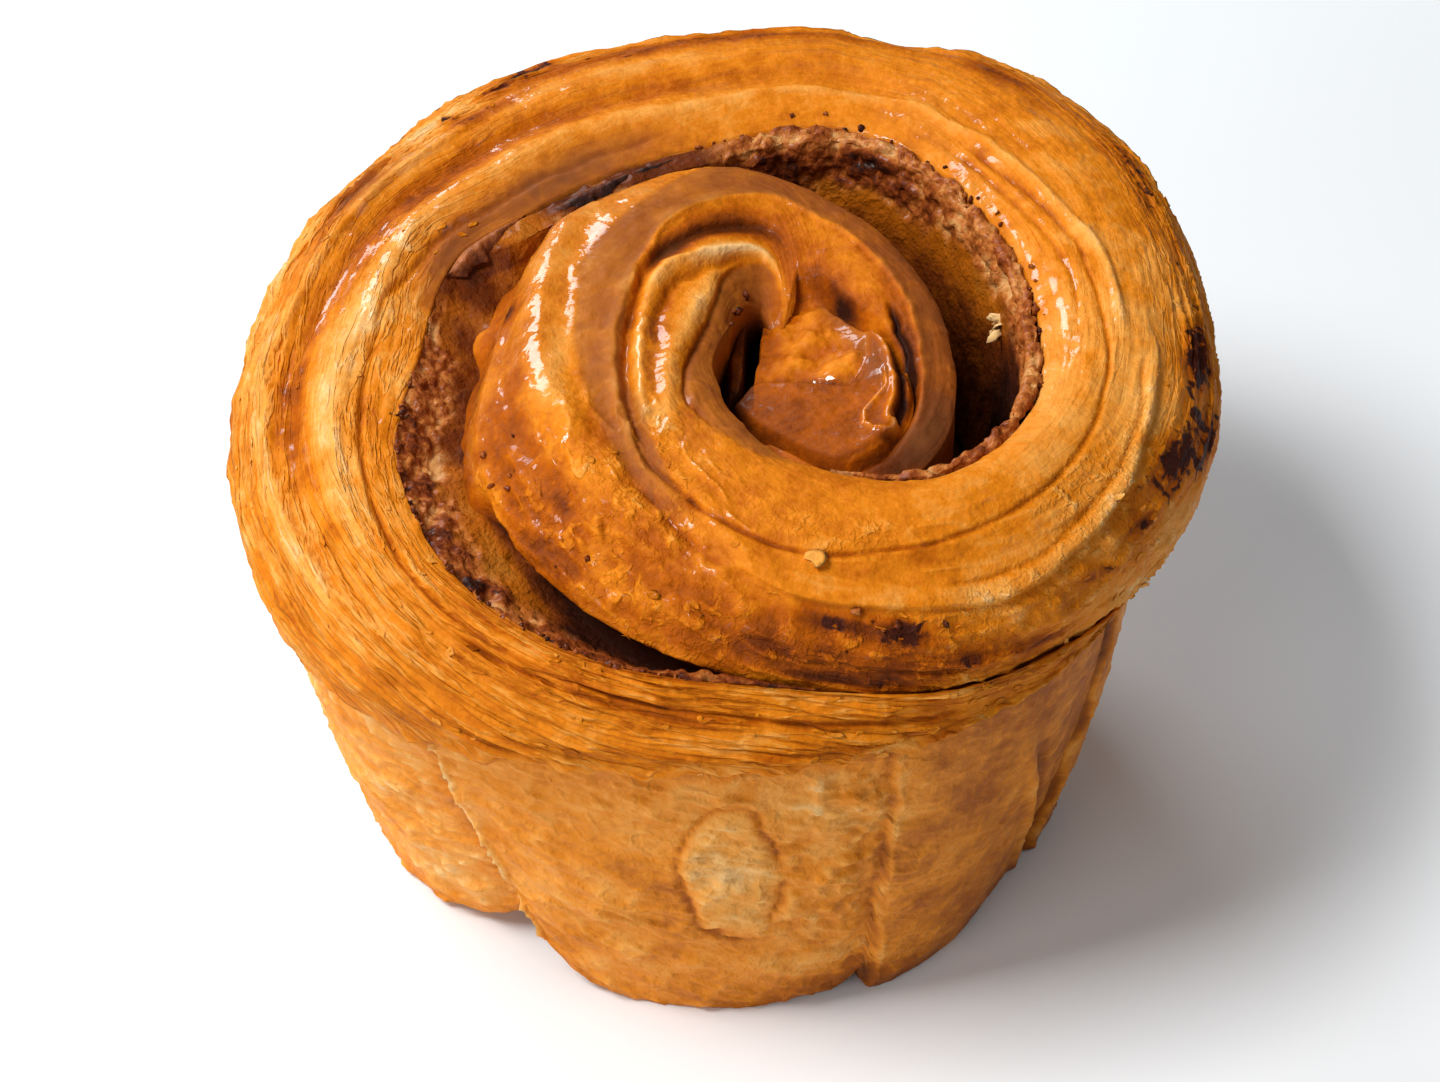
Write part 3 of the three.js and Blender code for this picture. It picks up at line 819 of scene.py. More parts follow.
def blend(tree, share, a, b):
    """Mixes two colours by a share."""
    node = tree.nodes.new("ShaderNodeMix")
    node.data_type = "RGBA"
    for socket, value in zip((node.inputs["Factor"], node.inputs[6], node.inputs[7]), (share, a, b)):
        if isinstance(value, tuple):
            socket.default_value = (*value, 1)
        elif isinstance(value, float):
            socket.default_value = value
        else:
            tree.links.new(value, socket)
    return node.outputs[2]


def vary(tree, value, texture, amount):
    """A value pushed up and down by a texture's distance from its middle."""
    return maths(tree, "ADD", value, maths(tree, "MULTIPLY", maths(tree, "SUBTRACT", texture, 0.5), amount))


def lines(tree, place, size, width):
    """Thin lines that wander over a surface about a size apart: 1 on a line and 0 between them."""
    value = maths(tree, "ABSOLUTE", maths(tree, "SUBTRACT", noise(tree, place, size, 4, 0.3), 0.5), 0.0)
    return maths(tree, "SUBTRACT", 1.0, maths(tree, "DIVIDE", value, width), clamp=True)


def bump(tree, height, distance):
    """Fine bumps from a height value, which is scaled by a distance in metres."""
    return add_node(tree, "ShaderNodeBump", (height, "Height"), Distance=distance).outputs[0]


CRUST_COLOURS = (
    (0.0, (0.78, 0.47, 0.19)),
    (0.2, (0.74, 0.31, 0.055)),
    (0.4, (0.63, 0.184, 0.006)),
    (0.6, (0.37, 0.078, 0.001)),
    (0.78, (0.16, 0.03, 0.002)),
    (1.0, (0.03, 0.007, 0.003)),
)
# dark mauve: partly the syrup glaze's own colour, partly a painted sheen where the bands face the light
# behind
GLAZE_AND_SHEEN_COLOUR = (0.2, 0.06, 0.016)
CHAR_COLOUR = (0.045, 0.009, 0.004)

crust_finish, crust_shader, crust_tree = new_material("baked_crust", 0.5)
place = add_node(crust_tree, "ShaderNodeTexCoord").outputs["Object"]
strip_place = add_node(crust_tree, "ShaderNodeAttribute", attribute_name="strip").outputs["Vector"]
toast_and_shading = read_value(crust_tree, "toast_and_shading")
glaze_and_sheen = read_value(crust_tree, "glaze_and_sheen")
char = read_value(crust_tree, "char")
crisp = read_value(crust_tree, "crisp")
layered = read_value(crust_tree, "layered")
streaks = noise(crust_tree, stretch(crust_tree, strip_place, (0.25, 1, 1)), 0.0014, 5, 0.8)
mottle = noise(crust_tree, place, 0.003, 5, 0.5)
grain = noise(crust_tree, place, 0.0007, 3)
spots = maths(crust_tree, "SUBTRACT", noise(crust_tree, place, 0.0016, 3, 0.3), 0.55)
spots = maths(crust_tree, "MULTIPLY", maths(crust_tree, "MULTIPLY", spots, 9.0, clamp=True), crisp)
flakes = maths(crust_tree, "MULTIPLY", lines(crust_tree, place, 0.0013, 0.07), crisp)
cracks = lines(crust_tree, stretch(crust_tree, strip_place, (0.18, 1, 1)), 0.0016, 0.035)
cracks = maths(crust_tree, "MULTIPLY", cracks, layered)
leaf_edges = lines(crust_tree, stretch(crust_tree, strip_place, (0.3, 1.3, 1)), 0.0021, 0.04)
leaf_edges = maths(crust_tree, "MULTIPLY", leaf_edges, layered)
streaks = maths(crust_tree, "MULTIPLY", maths(crust_tree, "SUBTRACT", streaks, 0.5), layered)
toast_and_shading = maths(crust_tree, "ADD", toast_and_shading, maths(crust_tree, "MULTIPLY", cracks, 0.06))
toast_and_shading = maths(crust_tree, "SUBTRACT", toast_and_shading, maths(crust_tree, "MULTIPLY", leaf_edges, 0.12))
toast_and_shading = maths(crust_tree, "SUBTRACT", toast_and_shading, maths(crust_tree, "MULTIPLY", spots, 0.16))
toast_and_shading = maths(crust_tree, "ADD", toast_and_shading, maths(crust_tree, "MULTIPLY", char, 0.2))
toast_and_shading = maths(crust_tree, "ADD", toast_and_shading, maths(crust_tree, "MULTIPLY", streaks, 0.29))
toast_and_shading = vary(crust_tree, toast_and_shading, mottle, 0.35)
toast_and_shading = vary(crust_tree, toast_and_shading, grain, 0.16)
crust_colour = colours(crust_tree, toast_and_shading, CRUST_COLOURS)
# the glazed bands' mauve blended in: the glaze's colour together with a painted sheen
glaze_and_sheen_share = maths(crust_tree, "ADD", 0.35, maths(crust_tree, "MULTIPLY", mottle, 0.5))
glaze_and_sheen_share = maths(crust_tree, "MULTIPLY", glaze_and_sheen, glaze_and_sheen_share, clamp=True)
crust_colour = blend(crust_tree, glaze_and_sheen_share, crust_colour, GLAZE_AND_SHEEN_COLOUR)
specks = noise(crust_tree, place, 0.0015, 4, 0.8)
char_share = maths(crust_tree, "ADD", specks, maths(crust_tree, "MULTIPLY", char, 0.42))
char_share = maths(crust_tree, "MULTIPLY", maths(crust_tree, "SUBTRACT", char_share, 0.75), 9.0, clamp=True)
crust_colour = blend(crust_tree, char_share, crust_colour, CHAR_COLOUR)
crust_tree.links.new(crust_colour, crust_shader.inputs["Base Color"])
bumpy = maths(crust_tree, "SUBTRACT", 1.0, glaze_and_sheen_share)
fine = maths(crust_tree, "ADD", streaks, maths(crust_tree, "MULTIPLY", grain, 0.7))
fine = maths(crust_tree, "MULTIPLY", fine, 0.5)
fine = maths(crust_tree, "ADD", fine, maths(crust_tree, "MULTIPLY", flakes, 0.15))
leaf_relief = maths(crust_tree, "SUBTRACT", leaf_edges, cracks)
fine = maths(crust_tree, "ADD", fine, maths(crust_tree, "MULTIPLY", leaf_relief, 0.22))
fine = maths(crust_tree, "ADD", fine, maths(crust_tree, "MULTIPLY", spots, 0.35))
bumpy = bump(crust_tree, maths(crust_tree, "MULTIPLY", bumpy, fine), 0.0005)
crust_tree.links.new(bumpy, crust_shader.inputs["Normal"])
wet = bump(crust_tree, noise(crust_tree, place, 0.0013, 2, 0.3), 0.0001)
crust_tree.links.new(wet, crust_shader.inputs["Coat Normal"])
gloss = read_value(crust_tree, "gloss")
beads = maths(crust_tree, "MULTIPLY", gloss, 0.45)
beads = maths(crust_tree, "ADD", beads, noise(crust_tree, place, 0.0014, 3, 0.4))
beads = maths(crust_tree, "MULTIPLY", maths(crust_tree, "SUBTRACT", beads, 0.68), 8.0, clamp=True)
crust_tree.links.new(maths(crust_tree, "MULTIPLY", gloss, beads), crust_shader.inputs["Coat Weight"])
crust_shader.inputs["Subsurface Weight"].default_value = 0.1
crust_shader.inputs["Subsurface Radius"].default_value = (1, 0.35, 0.1)
crust_shader.inputs["Subsurface Scale"].default_value = 0.0025
crust_shader.inputs["Coat Roughness"].default_value = 0.1
crust_shader.inputs["Coat IOR"].default_value = 1.7
crust_shader.inputs["Specular IOR Level"].default_value = 0.06

swirl_grid = roll_part("roll_inside", FIRST_ANGLE - 360, 345, 1.0, 158, crust_finish)
ring_grid = roll_part("roll_outside", 345, LAST_ANGLE, 0.7, 184, crust_finish)


# ---- The inner end ----
# The sheet's beginning, a tongue of dough that folded over itself in the eye as the pastry rose: a smooth
# glazed lobe in front, torn lumps behind its fold, and an open slot between them and the first turn.

END_STEP = 1.25  # degrees
END_ROWS = 110
END_DEPTH = 6
fold_line = through((1.5, -5.5), (3.3, -5.1), (6.9, -5.8), (10, -6.8), (12.3, -7.5), (13.6, -6.2),
                    (14.4, -4.8))
SLOT = ((3.4, 8.5), (3.2, 6), (2.9, 3), (2.7, -1.1), (2.2, -4.8), (0.8, -7))
TORN_RIM = ((1.8, 9.7), (3.1, 10.2), (4.7, 8.8), (6, 6.7), (4.9, 5.4))
# the mauve band on the inner end: glaze with a painted sheen
GLAZE_AND_SHEEN_BAND = ((8.5, 10.3), (10.3, 7.2), (11.8, 3.4), (13.8, -0.5), (15.2, -4.2), (15.5, -6.7), (15.1, -8.6))
PALE_EDGE = ((10.3, 8.9), (12.8, 4.8), (15.4, 1.1), (16.8, -1.4), (18.2, -5.6), (18.4, -9.7))
CRACK = ((16.2, -0.2), (17.2, -3), (17.8, -7.7), (17.7, -11.2), (17, -13.4))
CURL = (
    (16, -6.5), (16.1, -8.9), (14.8, -11), (13.8, -12.3), (13.8, -13.9), (14.6, -14.9), (15.9, -15.2),
    (16.9, -14.7), (16.8, -13.1),
)
SCRATCH = ((12.2, -18.6), (14.3, -17.6), (16, -16.3))
# lumps behind the fold: x, y, size, height in millimetres
LUMPS = ((6.8, -2.2, 1.7, 0.9), (10.8, -4.3, 1.5, 0.8), (8.8, 1, 2, 0.9), (5.9, 2.8, 1.2, 0.7),
         (13, -3.2, 1, 0.7), (9, 4.8, 1.4, 0.4))


def off_path(x, y, path):
    """Distance in millimetres from a path through (x, y) points, and how far along it that is, 0 to 1."""
    share = np.linspace(0, 1, 90)
    knots = np.array(path, float)
    at = np.linspace(0, 1, len(knots))
    gap = np.hypot(x[..., None] - np.interp(share, at, knots[:, 0]),
                   y[..., None] - np.interp(share, at, knots[:, 1]))
    return gap.min(axis=-1), share[gap.argmin(axis=-1)]


angle = np.arange(0, 360, END_STEP)[:, None]
out_share = np.linspace(0, 1, END_ROWS + 1)[None, :] ** 0.8
x = END_CENTRE[0] + out_share * end_reach(angle) * np.cos(np.radians(angle))
y = END_CENTRE[1] + out_share * end_reach(angle) * np.sin(np.radians(angle))
flat = np.stack([x, y, 0 * x], axis=-1)
wobble = 0.35 * rough(flat, 2, 71)
behind = y + wobble - fold_line(x)
back = ramp(behind, 0.3, 1.2) * (1 - ramp(x, 14.2, 15))
rise = 0.45 * (1 - back) * bell(np.hypot(x - 6, 0.8 * (y + 9.5)), 6) - 0.7 * back
rise = rise - 1.1 * bell(behind - 0.45, 0.45) * (1 - ramp(x, 12.5, 14))
for at_x, at_y, wide, tall in LUMPS:
    rise = rise + back * tall * bell(np.hypot(x - at_x, y - at_y), wide)
rise = rise + 0.5 * back * rough(flat, 2.4, 72)
slot_off, slot_at = off_path(x, y, SLOT)
slot_half = mix(0.85, 0.55, slot_at) + 0.5 * wobble
in_slot = 1 - ramp(slot_off, 0.55 * slot_half, 1.35 * slot_half)
rim_off, _ = off_path(x, y, TORN_RIM)
torn_rim = bell(rim_off, 1.5) * ramp(cloud(flat, 0.9, 73), -0.5, 0.4)
band_off, band_at = off_path(x, y, GLAZE_AND_SHEEN_BAND)
in_band = bell(band_off, 1.2) * (1 - ramp(band_at, 0.85, 1))
edge_off, _ = off_path(x, y, PALE_EDGE)
crack_off, _ = off_path(x, y, CRACK)
crack_off = crack_off + 0.3 * wobble
curl_off, _ = off_path(x, y, CURL)
scratch_off, _ = off_path(x, y, SCRATCH)
rise = rise - 1.3 * torn_rim + 0.35 * in_band + 0.4 * bell(edge_off, 0.4)
rise = rise - 1.1 * bell(crack_off, 0.4) + 0.5 * bell(crack_off - 1, 0.5)
rise = rise + 0.4 * bell(curl_off, 0.24) + 0.2 * bell(scratch_off, 0.2) + 0.14 * rough(flat, 1.6, 74)
height = 57.4 + 0.23 * np.clip(x - 1, 0, 18) + rise
height = height - END_DEPTH * in_slot - 2.4 * ramp(out_share, 0.86, 1) ** 2
points = np.stack([x, y, height], axis=-1)
skirt = points[:, -1:] - (0, 0, 5)
floor = np.stack([END_CENTRE[0] + 0 * angle, END_CENTRE[1] + 0 * angle, 45 + 0 * angle], axis=-1)
points = np.concatenate([points, skirt, floor], axis=1)
points = np.concatenate([points, points[:1]], axis=0)
# how darkly the inner end is baked, with painted shade in its slot and along its fold, how thickly it is
# glazed and painted with a sheen, how charred it is, and how wet it looks
specks = ramp(cloud(flat, 0.45, 75) + 0.5 * cloud(flat, 1.1, 79), 0.1, 0.6)
specks = specks * bell(np.hypot(x - 12.3, y - 7.2), 2.4)
toast_and_shading = 0.68 - 0.08 * back - 0.12 * back * rough(flat, 1.8, 76) - 0.16 * back * ramp(rise, -0.7, 0.4)
# the fold's crease and the slot painted darker as shade; the torn rim baked darker
toast_and_shading = toast_and_shading + 0.2 * bell(behind - 0.45, 0.5) * (1 - ramp(x, 12.5, 14)) + 0.3 * in_slot + 0.3 * torn_rim
toast_and_shading = toast_and_shading - 0.12 * bell(edge_off, 0.6) + 0.28 * bell(crack_off, 0.5) - 0.2 * bell(crack_off - 1, 0.4)
toast_and_shading = toast_and_shading - 0.25 * bell(curl_off, 0.3) - 0.12 * bell(scratch_off, 0.3)
# darker round the slot on its left: painted shade
toast_and_shading = toast_and_shading + 0.25 * ramp(slot_off, 4, 0) * (x < 3)
toast_and_shading = toast_and_shading + 0.12 * specks + 0.08 * ramp(out_share, 0.85, 1)
glaze_and_sheen = 0.9 * in_band + 0.5 * ramp(slot_off, 3, 0) * (x < 3)
char = 0.3 * specks + 0.8 * torn_rim * ramp(cloud(flat, 0.7, 77), 0, 0.4) + 0.7 * bell(crack_off, 0.35)
gloss = 0.18 - 0.18 * in_slot + 0.7 * bell(curl_off, 0.4)
gloss = gloss + 0.7 * bell(behind - 1.2, 0.6) * (x < 14.5) * (x > 8)
gloss = gloss + 0.5 * in_band * ramp(cloud(flat, 1, 78), 0, 0.3) + 0.4 * bell(crack_off - 1, 0.4)
crisp = 0 * x
kept, faces = welded(points.reshape(-1, 3), grid_faces(*points.shape[:2]))
inner_end = new_piece("inner_end", points.reshape(-1, 3)[kept], faces, crust_finish)
for name, values in (("toast_and_shading", toast_and_shading), ("glaze_and_sheen", glaze_and_sheen), ("char", char), ("gloss", gloss), ("crisp", crisp)):
    values = np.pad(values, ((0, 0), (0, 2)), mode="edge")
    set_values(inner_end, name, np.concatenate([values, values[:1]]).ravel()[kept])
inner_end.data.attributes.new("strip", "FLOAT_VECTOR", "POINT").data.foreach_set(
    "vector", (points * MM).reshape(-1, 3)[kept].astype(np.float32).ravel()
)

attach(inner_end, "root")
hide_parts("dough")


# ---- The cup ----
# The outer turn's dough below the cap, which rose in a smooth round tin: a straight-sided cup with
# upright pleats where the dough folded over itself, matte and golden, and a thin uneven hem at the foot.

foot_radius = through(
    (0, 37.7), (90, 37), (190, 39), (225, 37.4), (270, 37.3), (300, 38), (325, 36.2), (360, 37.7)
)
CUP_BELLY = 1.2
UNDERCUT = 1.5
PLEAT_WIDTH = 24
# turn angle of each pleat at the lip and at the foot, and its depth in millimetres
PLEATS = (
    (22.5, 24, 1.6), (82.5, 80, 2.2), (135, 137, 1.6), (187.5, 186, 1.4), (229, 238, 4.2), (291.5, 293, 0.55),
    (337.5, 335, 1),
)
hem_height = through(
    (0, 0.2), (60, 0.8), (120, 0.2), (180, 0.6), (205, 0.6), (222, 1.4), (230, 3), (236.5, 7), (238, 6.5),
    (243, 3.5), (252, 0.6), (265, 0.1), (275, 0), (279, 0.6), (288, 1.2), (292, 3.2), (293.2, 0.4),
    (296, 0), (300, 0.5), (310, 0.5), (360, 0.2),
)
CUP_STEP = 0.6  # degrees
CUP_ROWS = 140


def pleat_depth(turn, level):
    """How far the wall is drawn in: slowly before each pleat, and sharply out again just past it."""
    depth = 0
    for at_lip, at_foot, deep in PLEATS:
        before = np.mod(mix(at_lip, at_foot, level) - turn, 360)
        past = 360 - before
        depth = depth + deep * np.where(before < 180, 1 - ramp(before, 0, PLEAT_WIDTH),
                                        1 - ramp(past, 0, 1.6))
    return depth * ramp(level, 0, 0.15) * mix(0.4, 1, level)


def pleat_edge(turn, level):
    """1 on the thin torn edge just past each pleat, and 1 in the crease before it, where it is also painted
    darker as shade.
    """
    edge, crease_and_shade = 0, 0
    flat = np.stack([turn / 40 + 0 * level, level * 14 + 0 * turn, 0 * level + 0 * turn], axis=-1)
    torn = 1.2 * cloud(flat, 1.8, 27) + 0.14 * cloud(flat, 0.6, 28)
    for at_lip, at_foot, deep in PLEATS:
        past = np.mod(turn - mix(at_lip, at_foot, level) + torn + 180, 360) - 180
        crease_and_shade = crease_and_shade + 0.12 * deep * between(past, -6, 0.6, 3)
        edge = edge + min(deep / 1.5, 1.7) * between(past, 0.9, 1.5, 0.45)
        crease_and_shade = crease_and_shade + min(deep / 1.5, 1.7) * between(past, -0.7, 0.6, 0.5)
    return edge, crease_and_shade


turn = np.arange(0, 360, CUP_STEP)[:, None]
level = np.linspace(0, 1, CUP_ROWS + 1)[None, :]
radius = mix(lip_radius(turn) - UNDERCUT * ramp(level, 0, 0.06), foot_radius(turn), level)
radius = radius + CUP_BELLY * np.sin(np.pi * level) - pleat_depth(turn, level)
height = mix(lip_height(turn), hem_height(turn), level)
points = np.stack([radius * np.cos(np.radians(turn)), radius * np.sin(np.radians(turn)), height], axis=-1)
out = np.stack([np.cos(np.radians(turn)), np.sin(np.radians(turn)), 0 * turn], axis=-1)
skew = np.stack([turn * 0.7 + level * 18, level * 40 - turn * 0.25, 0 * level + 0 * turn], axis=-1)
wrinkles = rough(skew / (6, 2.2, 1), 1, 21)
edge, crease_and_shade = pleat_edge(turn, level)
crinkles = (1 - np.abs(cloud(skew / (4.5, 1.7, 1), 1, 24))) ** 5 * ramp(cloud(points, 7, 25), -0.6, 0.3)
puffs = rough(points, 3.2, 26)
pimples = np.maximum(cloud(points, 1.3, 29), 0) ** 2 + np.maximum(cloud(points, 0.9, 30), 0) ** 2
grainy = between(turn, 150, 232, 6) + between(turn, 278, 292, 2) * between(level, 0.05, 0.95, 0.05)
calm = 1 - 0.65 * between(np.mod(turn - 200, 360), 97, 180, 6)
relief = 0.45 * calm * wrinkles + 0.6 * edge - 0.4 * crease_and_shade + 0.3 * rough(points, 9, 22)
fine_crinkles = (1 - np.abs(cloud(skew / (2.3, 0.95, 1), 1, 31))) ** 5 * ramp(cloud(points, 5, 32), -0.5, 0.4)
relief = relief + calm * (0.45 * crinkles + 0.25 * fine_crinkles + 0.38 * puffs)
relief = relief + (0.12 + 0.25 * grainy) * pimples
relief = relief + 0.27 * grainy * rough(skew / (3, 1.5, 1), 1, 37)
wavy = 0.28 * cloud(points, 6, 19) + 0.17 * cloud(points, 2, 20)
blister_off = np.hypot((turn - 271.5 - 4 * (level - 0.4)) / 6.8, (level - 0.42) / 0.28) + wavy
blister_2_off = np.hypot((turn - 285) / 5, (level - 0.22) / 0.15) + 1.5 * wavy
blister_3_off = np.hypot((turn - 285.5) / 3.5, (level - 0.55) / 0.13) + 1.5 * wavy
blister = 1 - ramp(blister_off, 0.55, 1.15)
blister_2 = (1 - ramp(blister_2_off, 0.7, 1.1)) + (1 - ramp(blister_3_off, 0.7, 1.1))
rim = bell(blister_off - 1.05, 0.09) * ramp(cloud(points, 5, 33), -0.6, 0.2)
relief = relief + 0.3 * blister + 0.35 * blister_2 - 0.4 * rim
relief = relief + 0.8 * (blister + blister_2) * rough(points * (1, 1, 1.6), 1.8, 23)
ridge = np.exp(-(((turn - mix(309, 331, level)) / 1.3) ** 2)) * ramp(level, 0.2, 0.45)
valley = np.exp(-(((turn - mix(312, 334, level)) / 1.5) ** 2)) * ramp(level, 0.2, 0.45)
relief = relief + 0.7 * ridge - 0.7 * valley
points = points + out * (relief * ramp(level, 0, 0.05))[..., None]
# the thin hem turned in at the foot, the underside and the tuck under the cap close the shell
hem = points[:, -1:] - out * 1.2
hem[..., 2] -= np.minimum(0.6, hem[..., 2])
under = hem - out * 6
under[..., 2] = hem[..., 2] + 0.3
tucked = points[:, :1] - out * 3 + (0, 0, 1.2)
middle = 0 * tucked + (0, 0, 0.3)
points = np.concatenate([tucked, points, hem, under, middle], axis=1)
points = np.concatenate([points, points[:1]], axis=0)
# how darkly the cup is baked, with painted light and shade laid over it, and the tones at its edges repeated
# on the rows that close the shell
# painted shade: darker in the creases before the pleats, in the groove beside the ridge on the right and in
# the blister's sunken rim; painted light: paler on that ridge and on the raised crinkles, puffs and pimples
toast_and_shading = 0.4 + 0.12 * wrinkles - 0.35 * edge + 0.4 * crease_and_shade - 0.18 * blister - 0.06 * blister_2 - 0.15 * ridge
toast_and_shading = toast_and_shading - 0.1 * crinkles - 0.14 * puffs - 0.12 * pimples * (1 + grainy) + 0.25 * valley + 0.25 * rim
toast_and_shading = toast_and_shading - 0.1 * fine_crinkles + 0.04
# paler on the left, which faces the light, as painted light; darker near the foot; darker just under the
# cap's lip as painted shade
toast_and_shading = toast_and_shading - 0.08 * between(turn, 150, 232, 6) + 0.1 * ramp(level, 0.85, 1) + 0.08 * ramp(level, 0.12, 0)
toast_and_shading = toast_and_shading + 0.3 * bell((turn - 288) / 9, 1) * ramp(level, 0.86, 0.97)
toast_and_shading = toast_and_shading + 0.12 * bell((turn - 262) / 3.5, 1) * between(level, 0.35, 0.8, 0.1)
# the right side, turned from the light, painted darker as shade
toast_and_shading = toast_and_shading + 0.16 * between(turn, 296, 345, 8)
toast_and_shading = np.concatenate([toast_and_shading[:, :1], toast_and_shading, toast_and_shading[:, -1:], toast_and_shading[:, -1:], toast_and_shading[:, -1:]], axis=1)
toast_and_shading = np.concatenate([toast_and_shading, toast_and_shading[:1]], axis=0)
kept, faces = welded(points.reshape(-1, 3), grid_faces(*toast_and_shading.shape))
cup_finish, cup_shader, cup_tree = new_material("baked_side", 0.62)
place = add_node(cup_tree, "ShaderNodeTexCoord").outputs["Object"]
value = read_value(cup_tree, "toast_and_shading")
mottle = noise(cup_tree, place, 0.004, 4, 0.5)
grain = noise(cup_tree, place, 0.0008, 3)
value = vary(cup_tree, value, mottle, 0.32)
value = vary(cup_tree, value, grain, 0.17)
veins = lines(cup_tree, place, 0.005, 0.06)
value = maths(cup_tree, "SUBTRACT", value, maths(cup_tree, "MULTIPLY", veins, 0.05))
CUP_COLOURS = (
    (0.0, (0.78, 0.46, 0.17)),
    (0.2, (0.76, 0.33, 0.06)),
    (0.42, (0.67, 0.214, 0.011)),
    (0.65, (0.38, 0.097, 0.002)),
    (1.0, (0.12, 0.028, 0.003)),
)
cup_colour = colours(cup_tree, value, CUP_COLOURS)
cup_shader.inputs["Specular IOR Level"].default_value = 0.1
cup_tree.links.new(cup_colour, cup_shader.inputs["Base Color"])
rough_skin = maths(cup_tree, "ADD", mottle, grain)
rough_skin = maths(cup_tree, "ADD", rough_skin, maths(cup_tree, "MULTIPLY", veins, 0.3))
cup_tree.links.new(bump(cup_tree, rough_skin, 0.0003), cup_shader.inputs["Normal"])
cup_shader.inputs["Coat Weight"].default_value = 0.13
cup_shader.inputs["Coat Roughness"].default_value = 0.25
cup = new_piece("cup", points.reshape(-1, 3)[kept], faces, cup_finish)
set_values(cup, "toast_and_shading", toast_and_shading.ravel()[kept])

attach(cup, "root")
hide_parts("dough")


# ---- The cinnamon filling ----
# Butter, sugar and cinnamon spread on the strip's inner face. It has baked into a rough brown crust that
# stands a little proud along the outer turn's inner lip and lines the open gap below it.

FILLING_STEP = 0.45
FILLING_ROWS = 120
# how far the crust reaches down the wall below the rim, and how proud of the rim it stands, in millimetres
crust_reach = through(
    (300, 0.6), (330, 1.6), (350, 3.4), (385, 4.4), (410, 5), (430, 6), (458, 3), (472, 0.9), (492, 0.7),
    (515, 0.9), (526, 1.4), (536, 3), (565, 4.4), (585, 4.2), (600, 5.2), (622, 4.4), (640, 1.2),
)
crust_swell = through(
    (300, 0.1), (345, 0.35), (440, 0.5), (462, 0.2), (535, 0.15), (550, 0.6), (600, 0.7), (625, 0.5),
    (640, 0.1)
)

# the valley that the crust slopes into on the left, where the gap is shallow: its depth in millimetres
valley_depth = through((500, 3), (520, 3.4), (540, 3), (570, 2.4), (590, 2.6), (605, 3.4), (622, 2.6),
                       (640, 1.5))
VALLEY_FROM = 506
VALLEY_TO = 620

turn = np.arange(FILLING_FROM - 12, FILLING_TO + 12, FILLING_STEP)[:, None]
down = np.linspace(0, 1, FILLING_ROWS + 1)[None, :]
top = inner_height(turn) + 0.2
wide = slot_width(turn)
depth = np.clip((down - 0.15) / 0.85, 0, 1) * (top - gap_floor(turn) + 1)
height = top - depth
round_top = np.sqrt(np.clip(1 - ((down - 0.075) / 0.075) ** 2, 0, 1))
height = height + crust_swell(turn) * round_top * (down < 0.15)
radius = slot_radius(turn, height) + wide * (1 - np.clip(down / 0.15, 0, 1)) - 0.1
valley = ramp(turn, VALLEY_FROM - 8, VALLEY_FROM + 8) * (1 - ramp(turn, VALLEY_TO - 12, VALLEY_TO + 12))
rim = inner_radius(turn) + wide + 0.3
edge = outer_radius(turn) - 1.2 - undercut(turn - 360)
valley_width = rim - edge
valley_height = top - 0.2 - valley_depth(turn) * np.sin(0.5 * np.pi * np.clip(1.25 * down, 0, 1)) ** 1.3
lobe = bell((turn - 522) / 4.5, 1) * ramp(down, 0.2, 0.8)
valley_height = valley_height + 1.8 * lobe
radius = mix(radius, rim - down * valley_width, valley)
height = mix(height, valley_height, valley)
depth = mix(depth, down * valley_width, valley)
height = height - 0.6 * (1 - ramp(down, 0, 0.04))
points = on_roll(turn, np.stack([radius + 0 * turn, height]))
reach = crust_reach(turn) * (1 + 0.35 * cloud(points, 2.2, 39)) + 0.5 * cloud(points, 0.9, 41)
crusty = 1 - ramp(depth, 0.75 * reach, 1.15 * reach)
crusty = crusty * (1 - between(turn, 455, 527, 4) * ramp(cloud(points, 2, 42), -0.9, -0.3))
crumbs = 0.9 * np.maximum(cloud(points, 1.5, 33), 0) + 0.6 * np.maximum(cloud(points, 0.8, 34), -0.2)
clumps = 0.4 * rough(points, 2.4, 31) + crusty * crumbs + 0.5 * valley * rough(points, 3.6, 43)
points = points + facing(points) * (clumps * slot_share(turn))[..., None]
kept, faces = welded(points.reshape(-1, 3), grid_faces(*clumps.shape)[:, ::-1])
# how dark the dough under the crust is, with painted shade deeper down the gap, under the swirl's overhang
# and under the brown leaf, and how brown the crust itself
# darker deeper down the wall as painted shade
dark = 0.42 + 0.06 * cloud(points, 3, 35) + 0.3 * ramp(depth, 5, 11)
dark = dark + 0.06 * between(turn, 385, 447, 14) * (1 - ramp(depth, 6, 10))
dark = 0.42 + (dark - 0.42) * (1 - valley) + 0.26 * valley - 0.2 * valley * rough(points, 3.6, 43)
dark = dark + 0.4 * between(turn, 452, 494, 5)
dark = dark - 0.38 * between(turn, 562, 603, 7) * between(depth, 2.6, 7, 1)
# darker at the foot of the valley, under the swirl's overhang: painted shadow
dark = dark + 0.35 * valley * bell(depth - valley_width + 1.4, 0.9)
# darker deep in the front of the gap: painted shadow
dark = dark + 0.2 * between(turn, 593, 625, 6) * ramp(depth, 3, 5)
# darker deep in the gap on the right and down the valley: painted shade
dark = dark + 0.5 * between(turn, 300, 378, 12) * ramp(depth, 1, 4) + 0.12 * valley * ramp(depth, 1, 5)
dark = dark - 0.3 * lobe
